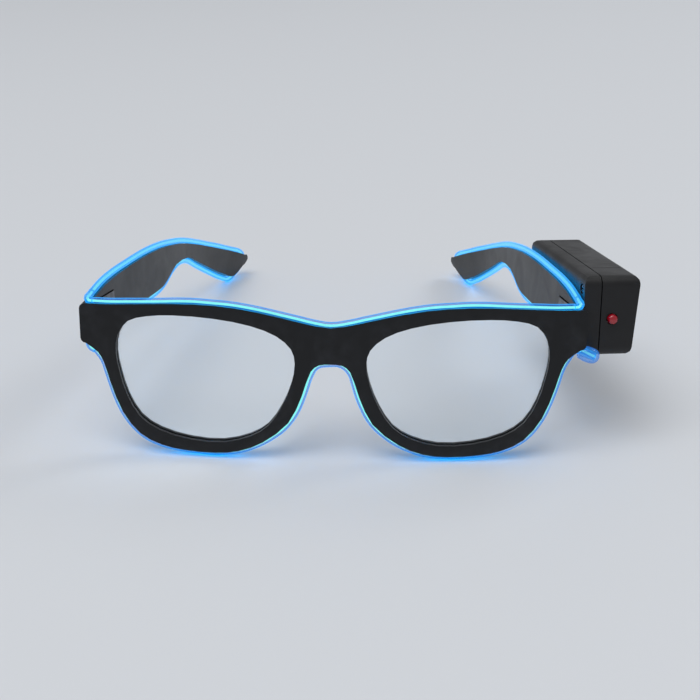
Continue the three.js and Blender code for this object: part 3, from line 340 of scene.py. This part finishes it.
def lathed(name, profile, placing):
    """A turned form from (radius, height) pairs in millimetres, from its axis round to its axis."""
    form = bmesh.new()
    corners = [form.verts.new((radius * mm, 0, height * mm)) for radius, height in profile]
    edges = [form.edges.new(pair) for pair in zip(corners, corners[1:])]
    bmesh.ops.spin(form, geom=corners + edges, cent=(0, 0, 0), axis=(0, 0, 1),
                   angle=math.tau, steps=turning_steps, use_merge=True)
    bmesh.ops.remove_doubles(form, verts=form.verts, dist=weld_distance)
    bmesh.ops.recalc_face_normals(form, faces=form.faces)
    bmesh.ops.transform(form, matrix=placing, verts=form.verts)
    mesh = bpy.data.meshes.new(name)
    form.to_mesh(mesh)
    form.free()
    return mesh


def cross_cutter(placing, reach, width):
    """The point of a cross-head driver, as two crossed bars through the top of a head."""
    form = bmesh.new()
    for along, over in ((reach, width), (width, reach)):
        bar = bmesh.ops.create_cube(form, size=2)["verts"]
        bmesh.ops.scale(form, vec=Vector((along, over, cross_depth)) * mm, verts=bar)
    bmesh.ops.transform(form, matrix=placing, verts=form.verts)
    mesh = bpy.data.meshes.new("cross")
    form.to_mesh(mesh)
    form.free()
    cutter = bpy.data.objects.new("cross", mesh)
    bpy.context.scene.collection.objects.link(cutter)
    return cutter


def cross_head_screw(name, node, profile, head_top, placing, reach, width):
    """A turned screw with a cross sunk in its head, in place of a CAD screw."""
    piece = place_piece(
        name, lathed(name, profile, placing), steel, "steel", body_of_node[node], node)
    cutter = cross_cutter(placing @ Matrix.Translation((0, 0, head_top * mm)), reach, width)
    cut = piece.modifiers.new("cross", "BOOLEAN")
    cut.object = cutter
    cut.use_self = True
    settle(piece)
    bpy.data.objects.remove(cutter)
    return shade(piece)


# The steel is painted dark for the dark it reflects, and its proud corners are painted glints.
steel = metal("steel painted dark with glints", steel_painted_dark, steel_painted_glint, clean=0.28, smeared=0.45,
              brush_scale=9000, brush_height=0.002 * mm)
joint_named = {joint["name"]: joint for joint in frame["joints"]}
pin_crown = pin_reach + head_height
pin_profile = [
    (0, -pin_reach), (pin_radius * pin_tip_share, -pin_reach),
    (pin_radius, pin_tip_length - pin_reach), (pin_radius, pin_reach), (head_radius, pin_reach),
    *((head_radius * share, pin_crown - depth) for share, depth in head_rounding), (0, pin_crown)]
for side in ("left", "right"):
    dressed(f"front_knuckles_{side}", f"front_hinge_{side}", steel, "steel", hinge_bevel)
    dressed(f"temple_knuckle_{side}", f"temple_hinge_{side}", steel, "steel", hinge_bevel)
    pin = joint_named[f"fold_{side}"]
    upward = Vector(pin["axis"]) * (1 if pin["axis"][2] > 0 else -1)
    pin_place = Matrix.Translation(pin["pos_m"]) @ upward.to_track_quat("Z", "Y").to_matrix().to_4x4()
    cross_head_screw(f"hinge_pin_{side}", f"hinge_screw_{side}", pin_profile, pin_crown, pin_place,
                     cross_reach, cross_width)

# Temples. The same plastic, one arm each side, bent down and inwards behind the ear. A groove in
# both edges holds the wire, and a screw through the hinge's knuckles holds the arm to the front.

temple_bevel = 0.25 * mm

for side in ("left", "right"):
    dressed(f"temple_arm_{side}", f"temple_{side}", frame_plastic, "frame_plastic", temple_bevel)

# Glowing wire. One electroluminescent wire in a clear jacket, pressed into the groove from the
# driver round the left temple, along the top of the front, round the right temple and along the
# bottom of the front to its end cap. It's cut here only where it crosses a hinge.

jacket_radius = 1.08 * mm
core_radius = 0.38 * mm
core_glow, core_dim = (0.45, 1.5, 1.05), (0.32, 1.25, 0.9)
core_unlit = (0.02, 0.1, 0.12)
jacket_blue = (0.002, 0.008, 0.02)
jacket_glow, jacket_deep = (0.006, 0.2, 0.72), (0.003, 0.14, 0.6)
jacket_slant_glow = (0.02, 0.36, 0.92)  # where the jacket is seen aslant, as at its two edges
thrown_glow = (0.0, 0.42, 1.0)
thrown_strength = 9  # of the light that the core throws on what's round it
wire_join = 0.32  # how far each run is carried into the gap to the next, in millimetres
wire_in_cap = 1.9  # how much further the wire runs in its end cap, likewise
route_steps = 3
middle_across = -7.95  # of the glasses alone, since the driver widens the whole on one side

top_route = [
    (62.0, -68.5, 45.1), (57.0, -69.2, 45.2), (52.0, -69.8, 45.5), (47.0, -70.4, 45.8),
    (41.9, -70.9, 46.1), (36.9, -71.3, 46.4), (31.9, -71.7, 46.5), (26.8, -72.2, 46.3),
    (21.8, -72.5, 46.0), (16.8, -72.9, 45.4), (11.8, -73.2, 44.5), (6.9, -73.6, 43.5),
    (2.0, -73.8, 42.4), (-2.9, -74.1, 41.3), (-8.0, -74.2, 40.6), (-12.9, -74.1, 41.3),
    (-17.9, -73.8, 42.4), (-22.8, -73.6, 43.5), (-27.7, -73.2, 44.5), (-32.7, -72.9, 45.4),
    (-37.7, -72.5, 46.0), (-42.7, -72.2, 46.3), (-47.8, -71.7, 46.5), (-52.8, -71.3, 46.4),
    (-57.8, -70.9, 46.1), (-62.9, -70.4, 45.8), (-67.9, -69.8, 45.5), (-72.9, -69.2, 45.2),
    (-77.9, -68.5, 45.1)]
bottom_route = [
    (-77.8, -70.6, 30.4), (-75.7, -71.3, 27.6), (-74.6, -71.9, 24.1), (-73.5, -72.6, 20.5),
    (-72.4, -73.2, 17.1), (-71.0, -73.9, 13.7), (-69.2, -74.5, 10.4), (-66.9, -75.2, 7.6),
    (-64.1, -75.9, 5.2), (-60.9, -76.5, 3.5), (-57.3, -77.0, 2.4), (-53.7, -77.5, 1.8),
    (-50.0, -77.8, 1.4), (-46.3, -78.2, 1.2), (-42.6, -78.5, 1.1), (-38.9, -78.7, 1.4),
    (-35.2, -78.8, 2.0), (-31.6, -78.8, 3.2), (-28.3, -78.8, 4.8), (-25.1, -78.6, 6.8),
    (-22.2, -78.4, 9.1), (-19.8, -78.0, 11.9), (-17.9, -77.6, 15.1), (-16.5, -77.2, 18.5),
    (-15.3, -76.7, 22.0), (-14.1, -76.2, 25.5), (-12.1, -75.9, 28.5), (-8.5, -75.8, 29.3),
    (-4.8, -75.8, 29.0), (-2.1, -76.1, 26.5), (-0.9, -76.6, 23.1), (0.2, -77.1, 19.5),
    (1.6, -77.5, 16.1), (3.3, -77.9, 12.8), (5.6, -78.3, 9.9), (8.4, -78.5, 7.4), (11.4, -78.7, 5.3),
    (14.8, -78.8, 3.6), (18.2, -78.8, 2.3), (21.9, -78.7, 1.5), (25.6, -78.5, 1.2), (29.3, -78.3, 1.1),
    (33.0, -78.0, 1.3), (36.7, -77.6, 1.6), (40.4, -77.2, 2.2), (44.0, -76.7, 3.2), (47.3, -76.1, 4.7),
    (50.3, -75.4, 6.8), (52.7, -74.7, 9.6), (54.6, -74.1, 12.7), (56.1, -73.4, 16.1),
    (57.3, -72.8, 19.5), (58.4, -72.1, 23.0), (59.4, -71.5, 26.6), (61.1, -70.8, 29.8),
    (63.5, -70.0, 32.3), (67.1, -70.1, 31.1)]
temple_route = [
    (63.9, -62.1, 45.5), (62.8, -54.9, 46.0), (61.7, -47.6, 45.8), (60.6, -40.3, 45.2),
    (59.5, -33.1, 44.4), (58.4, -25.9, 43.6), (57.3, -18.7, 42.7), (56.2, -11.5, 41.6),
    (55.1, -4.3, 40.3), (54.0, 2.8, 38.8), (53.0, 9.8, 37.0), (51.9, 16.9, 35.1), (50.8, 23.8, 33.0),
    (49.6, 30.7, 30.6), (48.3, 37.4, 28.0), (46.7, 44.1, 25.3), (45.0, 50.7, 22.5), (43.0, 57.2, 19.8),
    (41.0, 63.7, 16.9), (38.7, 70.0, 14.0), (37.6, 73.2, 12.6), (36.4, 76.3, 11.0), (35.7, 78.8, 8.7),
    (36.1, 79.2, 5.7), (37.6, 77.2, 3.1), (39.2, 74.2, 1.7), (40.6, 70.9, 1.2), (41.7, 67.6, 2.4),
    (42.6, 64.4, 4.0), (43.4, 61.2, 5.6), (44.2, 58.1, 7.3), (45.0, 54.9, 9.1), (46.4, 48.6, 12.6),
    (47.7, 42.3, 16.1), (48.8, 35.9, 19.6), (49.8, 29.6, 23.1), (50.8, 22.7, 25.6), (51.9, 15.5, 26.7),
    (53.0, 8.3, 26.2), (54.0, 1.2, 24.8), (55.1, -6.1, 24.5), (56.2, -13.3, 25.3), (57.3, -20.5, 26.2),
    (58.4, -27.7, 27.1), (59.5, -34.9, 27.9), (60.6, -42.2, 28.9), (61.7, -49.4, 29.8)]
right_end = [
    (62.2, -53.0, 30.2), (62.8, -56.6, 30.7), (63.3, -60.2, 31.2), (63.9, -63.8, 31.6)]
left_end = [
    (62.3, -53.7, 30.3), (62.6, -55.6, 30.6), (63.0, -56.6, 30.7), (63.9, -57.2, 30.8),
    (65.0, -57.3, 30.8), (67.3, -57.0, 30.8)]
top_corner = [
    (64.0, -62.7, 45.4), (64.2, -64.4, 45.3), (64.4, -66.0, 45.3), (64.0, -67.6, 45.2),
    (63.5, -68.2, 45.1), (62.7, -68.4, 45.1)]
low_corner = [
    (64.0, -64.7, 31.8), (64.2, -65.6, 31.9), (64.4, -68.2, 32.2), (64.3, -69.0, 31.8),
    (63.4, -70.2, 30.9), (62.6, -70.5, 30.6)]


def other_side(route):
    """The same route on the other side of the head."""
    return [(2 * middle_across - x, y, z) for x, y, z in route]


def carried_on(route, start, end):
    """A route in metres, with its two ends carried on by start and end millimetres."""
    places = [Vector(place) for place in route]
    places[0] += (places[0] - places[1]).normalized() * start
    places[-1] += (places[-1] - places[-2]).normalized() * end
    return [place * mm for place in places]


def tube_along(name, places, radius, rounds=3):
    """A round tube with closed ends on a smooth line through the places."""
    line = bpy.data.curves.new(name, "CURVE")
    line.dimensions = "3D"
    line.bevel_depth = radius
    line.bevel_resolution = rounds
    line.resolution_u = route_steps
    line.use_fill_caps = True
    run = line.splines.new("BEZIER")
    run.bezier_points.add(len(places) - 1)
    for point, place in zip(run.bezier_points, places):
        point.co = place
        point.handle_left_type = point.handle_right_type = "AUTO"
    holder = bpy.data.objects.new(name, line)
    bpy.context.scene.collection.objects.link(holder)
    bpy.context.view_layer.update()
    mesh = bpy.data.meshes.new_from_object(
        holder.evaluated_get(bpy.context.evaluated_depsgraph_get()))
    bpy.data.objects.remove(holder)
    form = bmesh.new()
    form.from_mesh(mesh)
    bmesh.ops.remove_doubles(form, verts=form.verts, dist=weld_distance)
    bmesh.ops.recalc_face_normals(form, faces=form.faces)
    form.to_mesh(mesh)
    form.free()
    return mesh


def glowing_material(name, bright, dim, cloud_scale, clean, smeared, **shader):
    """A plastic that glows between two colours, in soft clouds, with smears on its skin."""
    material, tree, principled = finish_material(name, **shader)
    touch(tree, principled, clean, smeared)
    place = add_node(tree, "ShaderNodeTexCoord")
    cloud = add_node(tree, "ShaderNodeTexNoise", {
        "Vector": place.outputs["Object"], "Scale": cloud_scale, "Detail": 3})
    glow = add_node(tree, "ShaderNodeMix", {
        "Factor": cloud.outputs["Fac"], 6: (*dim, 1), 7: (*bright, 1)}, data_type="RGBA")
    tree.links.new(glow.outputs[2], principled.inputs["Emission Color"])
    return material, tree, principled


def core_material():
    """The phosphor core, which looks pale and throws a deeper and stronger blue on the rest."""
    material, tree, principled = glowing_material(
        "phosphor core", core_glow, core_dim, cloud_scale=700, clean=0.3, smeared=0.5,
        Base_Color=(*core_unlit, 1), Emission_Strength=1)
    ray = add_node(tree, "ShaderNodeLightPath")
    thrown = add_node(
        tree, "ShaderNodeEmission", {"Color": (*thrown_glow, 1), "Strength": thrown_strength})
    either = add_node(tree, "ShaderNodeMixShader", {
        0: ray.outputs["Is Camera Ray"], 1: thrown.outputs["Emission"], 2: principled.outputs["BSDF"]})
    tree.links.new(either.outputs["Shader"], tree.nodes["Material Output"].inputs["Surface"])
    return material


def filled_with_glow(name, bright, deep, slant_glow, middle_alpha, rim_alpha, **shader):
    """A clear plastic that fills with the wire's light, and hides more where it's seen aslant."""
    material, tree, principled = glowing_material(
        name, bright, deep, cloud_scale=250, clean=0.1, smeared=0.3, **shader)
    slant = add_node(tree, "ShaderNodeLayerWeight", {"Blend": 0.5})
    thickness = add_node(tree, "ShaderNodeMapRange", {
        "Value": slant.outputs["Facing"], "From Min": 0.12, "From Max": 0.85,
        "To Min": middle_alpha, "To Max": rim_alpha})
    aslant = add_node(tree, "ShaderNodeMapRange", {
        "Value": slant.outputs["Facing"], "From Min": 0.3, "From Max": 0.65})
    colour = add_node(tree, "ShaderNodeMix", {
        "Factor": aslant.outputs["Result"],
        6: principled.inputs["Emission Color"].links[0].from_socket,
        7: (*slant_glow, 1)}, data_type="RGBA")
    tree.links.new(thickness.outputs["Result"], principled.inputs["Alpha"])
    tree.links.new(colour.outputs[2], principled.inputs["Emission Color"])
    return material


phosphor = core_material()
jacket_plastic = filled_with_glow(
    "wire jacket", jacket_glow, jacket_deep, jacket_slant_glow, middle_alpha=0.38, rim_alpha=0.9,
    Base_Color=(*jacket_blue, 1), IOR=1.5, Emission_Strength=1, Specular_IOR_Level=0.3,
    Coat_Weight=0.1)


def glowing_run(node, places):
    """A stretch of the wire: its core and the jacket round it, in place of a CAD node."""
    core = place_piece(
        f"{node}_core", tube_along(node, places, core_radius, rounds=2), phosphor, "glow_wire", None)
    jacket = place_piece(f"{node}_jacket", tube_along(node, places, jacket_radius),
                         jacket_plastic, "glow_wire", None, node)
    return [shade(core), shade(jacket)]


straight_runs = {
    "wire_front_top": carried_on(top_route, wire_join, wire_join),
    "wire_front_bottom": carried_on(bottom_route, wire_join, wire_in_cap),
    "wire_temple_left": carried_on(temple_route + left_end, wire_join, 0),
    "wire_temple_right": carried_on(other_side(temple_route + right_end), wire_join, wire_join),
}
for node, places in straight_runs.items():
    for piece in glowing_run(node, places):
        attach(piece, body_of_node[node])

# Wire at the hinges. The wire isn't cut there on the real glasses: it bends with the fold. So
# these three short runs, of the same core and jacket, turn smoothly from the front to the arm.

corner_runs = {
    "wire_corner_top_left": (carried_on(top_corner, wire_join, wire_join), "temple_arm_left"),
    "wire_corner_top_right": (carried_on(other_side(top_corner), wire_join, wire_join), "temple_arm_right"),
    "wire_corner_low_right": (carried_on(other_side(low_corner), wire_join, wire_join), "temple_arm_right"),
}
for node, (places, arm) in corner_runs.items():
    for piece in glowing_run(node, places):
        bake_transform(piece)

# End cap. A clear soft bulb glued over the cut end of the wire, which shines into it. It sits in
# a hollow at the lower outer corner of the front, on the driver's side.

cap_mouth = Vector((64.40, -70.03, 31.91)) * mm
cap_axis = Vector((0.9511, -0.0427, -0.3061))
cap_profile = [
    (0, 4.9), (1.2, 4.9), (1.2, 0.2), (1.4, 0), (1.75, 0), (1.86, 0.12), (2.0, 0.7), (2.2, 1.4), (2.32, 2.1),
    (2.35, 2.9), (2.34, 3.7), (2.26, 4.4), (2.05, 5.0), (1.7, 5.5), (1.2, 5.9), (0.6, 6.13), (0, 6.2)]
cap_blue = (0.01, 0.03, 0.06)
cap_glow, cap_deep, cap_slant_glow = (0.02, 0.26, 0.75), (0.01, 0.16, 0.55), (0.015, 0.12, 0.45)

cap_plastic = filled_with_glow(
    "clear cap", cap_glow, cap_deep, cap_slant_glow, middle_alpha=0.36, rim_alpha=0.88,
    Base_Color=(*cap_blue, 1), IOR=1.45, Emission_Strength=1, Coat_Weight=0.8)
cap_place = Matrix.Translation(cap_mouth) @ cap_axis.to_track_quat("Z", "Y").to_matrix().to_4x4()
cap = place_piece("end_bulb", lathed("end_bulb", cap_profile, cap_place), cap_plastic,
                  "clear_cap", "front", "wire_end_cap")
shade(cap)

# Driver case. Two halves of black ABS with a fine grain, screwed together and to the temple, and
# a cover that slides off the rear of the battery bay, with ribs for the thumb.

case_bevel = 0.3 * mm
case_black = (0.008, 0.008, 0.009)
case_rubbed = (0.018, 0.018, 0.019)

case_plastic = plastic(
    "case plastic", case_black, case_rubbed, clean=0.36, smeared=0.52, grain=3500,
    grain_height=0.03 * mm, Specular_IOR_Level=0.35)
for name, node in (("case_base", "driver_base"), ("case_shell", "driver_shell"),
                   ("case_cover", "battery_cover")):
    dressed(name, node, case_plastic, "case_plastic", case_bevel)

# Push button. Glossy red plastic with a crowned face, moulded with a flange that keeps it behind
# the shell, and a stem that presses the switch on the board.

button_colour = (0.34, 0.004, 0.014)
button_axis_across, button_axis_up = 8.7, 11.4
button_profile = [
    (0, -1.5), (0.6, -1.47), (1.0, -1.36), (1.28, -1.15), (1.41, -0.9), (1.45, -0.6), (1.45, 1.4),
    (2.1, 1.4), (2.1, 2.2), (0.9, 2.2), (0.9, 3.5), (0, 3.5)]
lean_back = math.radians(-7.9448)
arm_splay = math.radians(8.6)

driver_turn = Matrix.Rotation(lean_back, 4, "X") @ Matrix.Rotation(arm_splay, 4, "Z")
button_place = Matrix.Translation(joint_named["press_button"]["pos_m"]) @ driver_turn
driver_place = button_place @ Matrix.Translation(
    Vector((-button_axis_across, 0, -button_axis_up)) * mm)
lying = Matrix.Rotation(math.radians(-90), 4, "X")  # turns a lathe's axis to the driver's length


def in_driver(across, along, up):
    """Where a turned piece with its foot there goes, in millimetres, its axis along the driver."""
    return driver_place @ Matrix.Translation(Vector((across, along, up)) * mm) @ lying


button_red, button_tree, button_shader = finish_material(
    "button red", Base_Color=(*button_colour, 1), Coat_Weight=0.6)
touch(button_tree, button_shader, clean=0.06, smeared=0.16)
button = place_piece(
    "red_button",
    lathed("red_button", button_profile, in_driver(button_axis_across, 0, button_axis_up)),
    button_red, "button_red", "button", "push_button")
shade(button)

# Cells. Two AAA cells, one above the other and head to tail: a steel can with a sleeve shrunk
# over its edges, plain here but for a copper-coloured band.

cell_across = 6.65
cell_up = {"upper": 17.35, "lower": 6.65}
cell_start = {"upper": 12.4, "lower": 15.3}
cell_length = 44.5
cell_profile = [
    (0, 0), (3.4, 0), (3.6, 0.15), (4.7, 0.15), (5.1, 0.35), (5.25, 0.8), (5.25, 42.7),
    (5.1, 43.2), (4.7, 43.45), (3.3, 43.45), (3.1, 43.3), (2.7, 43.3), (2.55, 43.5), (2.5, 44.3),
    (2.3, cell_length), (0, cell_length)]
sleeve_reach, band_start = 4.6, 31  # from the cell's axis, and along it from its flat end

cell_metal = metal(
    "cell metal", colour=(0.55, 0.54, 0.51), corner_colour=(0.7, 0.68, 0.65), clean=0.2, smeared=0.35,
    brush_scale=6000, brush_height=0.002 * mm)
sleeve = plastic(
    "cell sleeve", colour=(0.03, 0.035, 0.045), corner_colour=(0.08, 0.08, 0.09), clean=0.18, smeared=0.3,
    grain=900, grain_height=0.002 * mm)
band = plastic(
    "cell band", colour=(0.5, 0.26, 0.1), corner_colour=(0.55, 0.3, 0.14), clean=0.2, smeared=0.3,
    grain=900, grain_height=0.002 * mm)
for level_name, start in cell_start.items():
    placing = in_driver(cell_across, start, cell_up[level_name])
    if level_name == "upper":
        placing = placing @ Matrix.Translation((0, 0, cell_length * mm)) @ Matrix.Rotation(math.pi, 4, "X")
    mesh = lathed(f"cell_{level_name}", cell_profile, placing)
    node = f"battery_{level_name}"
    cell = place_piece(f"cell_{level_name}", mesh, sleeve, "battery_can", body_of_node[node], node)
    mesh.materials.append(cell_metal)
    mesh.materials.append(band)
    into_cell = placing.inverted()
    for face in mesh.polygons:
        place = into_cell @ face.center
        out = math.hypot(place.x, place.y) / mm
        if out < sleeve_reach:
            face.material_index = 1
        elif place.z / mm > band_start:
            face.material_index = 2
    shade(cell)

# Contacts. Nickel-plated spring steel: a tab in front of each cell, one plate that joins the two
# cells at the rear, and a coil spring against the flat end of each.

coil_radius, coil_wire, coil_turns, coil_length = 2.15, 0.34, 3, 2.6
coil_marks = 12
tab_bevel = 0.08 * mm
spring_start = {
    "spring_front_lower": (12.4, cell_up["lower"]), "spring_rear_upper": (57.2, cell_up["upper"])}

for node in ("contact_front_upper", "contact_front_lower", "contact_plate_rear"):
    dressed(f"{node}_tab", node, steel, "steel", tab_bevel)
for node, (start, height) in spring_start.items():
    places = []
    for mark in range(coil_turns * coil_marks + 1):
        turn = math.tau * mark / coil_marks
        along = coil_wire + (coil_length - 2 * coil_wire) * mark / (coil_turns * coil_marks)
        places.append(driver_place @ (Vector((
            cell_across + coil_radius * math.cos(turn), start + along,
            height + coil_radius * math.sin(turn))) * mm))
    spring = place_piece(f"{node}_coil", tube_along(node, places, coil_wire * mm, rounds=2),
                         steel, "steel", body_of_node[node], node)
    shade(spring)

# Inverter. A small green board with the switch and a capacitor on its front, and a copper coil
# and a transistor on its back, fed by two leads.

part_bevel = 0.06 * mm

board_green = plastic(
    "solder mask", colour=(0.01, 0.09, 0.035), corner_colour=(0.03, 0.2, 0.09), clean=0.22, smeared=0.4,
    grain=1800, grain_height=0.004 * mm)
part_black = plastic(
    "part black", colour=(0.02, 0.02, 0.022), corner_colour=(0.05, 0.05, 0.05), clean=0.4, smeared=0.55,
    grain=2600, grain_height=0.01 * mm)
part_cream = plastic(
    "part cream", colour=(0.62, 0.5, 0.28), corner_colour=(0.7, 0.6, 0.4), clean=0.35, smeared=0.5,
    grain=2000, grain_height=0.004 * mm)
lead_red = plastic(
    "lead red", colour=(0.42, 0.02, 0.02), corner_colour=(0.5, 0.05, 0.05), clean=0.3, smeared=0.42,
    grain=1500, grain_height=0.003 * mm)
copper = metal(
    "winding copper", colour=(0.62, 0.27, 0.14), corner_colour=(0.85, 0.46, 0.27), clean=0.22,
    smeared=0.36, brush_scale=12000, brush_height=0.01 * mm)
for node, material, slot in (
        ("circuit_board", board_green, "board"), ("tact_switch", part_black, "dark_plastic"),
        ("capacitor", part_cream, "capacitor_cream"), ("transistor", part_black, "dark_plastic"),
        ("inverter_coil", copper, "coil_copper"), ("lead_wire_negative", part_black, "dark_plastic"),
        ("lead_wire_positive", lead_red, "lead_red")):
    dressed(f"{node}_part", node, material, slot, part_bevel)

# Driver screws. Plated steel with cross heads. Two hold the case halves together from the temple's
# side, and two go from inside the battery bay into the temple.

case_bosses = {"case_screw_lower": 4, "case_screw_upper": 20}
case_boss_along, case_screw_end, case_head_sink = 3.1, 9.4, 0.3
mount_bosses = {"mount_screw_front": 0.3, "mount_screw_rear": 0.8}
case_length, case_middle = 61.9, 12
driver_head = 0.8
mount_screw_end, mount_seat = 1.8, 1.4
case_cross_reach, case_cross_width = 0.8, 0.25


def screw_profile(end, tip, tip_length, shank, seat, head, crown, edge):
    """Half the outline of a screw: radii and heights, from the end of its tip to its crown."""
    return [(0, end), (tip, end), (shank, end + tip_length), (shank, seat), (head, seat),
            (head, crown - edge), (head - edge, crown), (0, crown)]


outwards = Matrix.Rotation(math.radians(90), 4, "Y")  # turns a lathe's axis away from the temple
inwards = Matrix.Rotation(math.radians(-90), 4, "Y")
for node, up in case_bosses.items():
    placing = driver_place @ Matrix.Translation(
        Vector((0, case_boss_along, up)) * mm) @ inwards
    crown = -case_head_sink
    profile = screw_profile(end=-case_screw_end, tip=0.4, tip_length=0.9, shank=0.75,
                            seat=crown - driver_head, head=1.3, crown=crown, edge=0.25)
    cross_head_screw(
        f"{node}_turned", node, profile, crown, placing, case_cross_reach, case_cross_width)
for node, share in mount_bosses.items():
    placing = driver_place @ Matrix.Translation(
        Vector((0, share * case_length, case_middle)) * mm) @ outwards
    crown = mount_seat + driver_head
    profile = screw_profile(end=-mount_screw_end, tip=0.6, tip_length=0.5, shank=0.9,
                            seat=mount_seat, head=1.6, crown=crown, edge=0.3)
    cross_head_screw(f"{node}_turned", node, profile, crown, placing, cross_reach, cross_width)

# Wire seal. A grommet of soft black rubber, pushed into the hole where the wire goes into the
# driver, so that the hole's edge doesn't cut into the jacket.

rubber_black, rubber_rubbed = (0.016, 0.016, 0.017), (0.04, 0.04, 0.04)
seal_bevel = 0.1 * mm

rubber = plastic(
    "rubber", rubber_black, rubber_rubbed, clean=0.6, smeared=0.75, grain=1200, grain_height=0.01 * mm)
dressed("wire_seal", "wire_grommet", rubber, "grommet_rubber", seal_bevel)

# Floor, lights. A pale table top, one wide soft light above and a little in front, a smaller one
# behind on the driver's side, and a pale room all round.

floor_half = 2.4
floor_colour = (0.62, 0.64, 0.67)
room_colour = (0.55, 0.57, 0.61)
room_lighting, room_strength = (0.95, 0.97, 1), 0.4

floor_mesh = bpy.data.meshes.new("floor")
floor_form = bmesh.new()
bmesh.ops.create_grid(floor_form, x_segments=1, y_segments=1, size=floor_half)
floor_form.to_mesh(floor_mesh)
floor_form.free()
floor = bpy.data.objects.new("floor", floor_mesh)
bpy.context.scene.collection.objects.link(floor)
floor_material = finish_material("table top", Base_Color=(*floor_colour, 1), Roughness=0.6)[0]
floor_mesh.materials.append(floor_material)

room = bpy.data.worlds.new("room")
room.use_nodes = True
room_light = room.node_tree.nodes["Background"]
room_light.inputs["Color"].default_value = (*room_lighting, 1)
room_light.inputs["Strength"].default_value = room_strength
room_seen = add_node(room.node_tree, "ShaderNodeBackground", {
    "Color": (*room_colour, 1), "Strength": 1})
room_ray = add_node(room.node_tree, "ShaderNodeLightPath")
room_either = add_node(room.node_tree, "ShaderNodeMixShader", {
    0: room_ray.outputs["Is Camera Ray"],
    1: room_light.outputs["Background"], 2: room_seen.outputs["Background"]})
room.node_tree.links.new(
    room_either.outputs["Shader"], room.node_tree.nodes["World Output"].inputs["Surface"])
bpy.context.scene.world = room


def soft_light(name, place, size, watts):
    """A square lamp that faces the spot on the table under the middle of the whole."""
    lamp = bpy.data.lights.new(name, "AREA")
    lamp.size = size
    lamp.energy = watts
    fitting = bpy.data.objects.new(name, lamp)
    bpy.context.scene.collection.objects.link(fitting)
    fitting.location = place
    fitting.rotation_euler = (-Vector(place)).to_track_quat("-Z", "Y").to_euler()


soft_light("ceiling softbox", (-0.6, -0.8, 2.6), size=2.2, watts=50)
soft_light("side softbox", (1.5, 1.2, 1.4), size=0.9, watts=12)
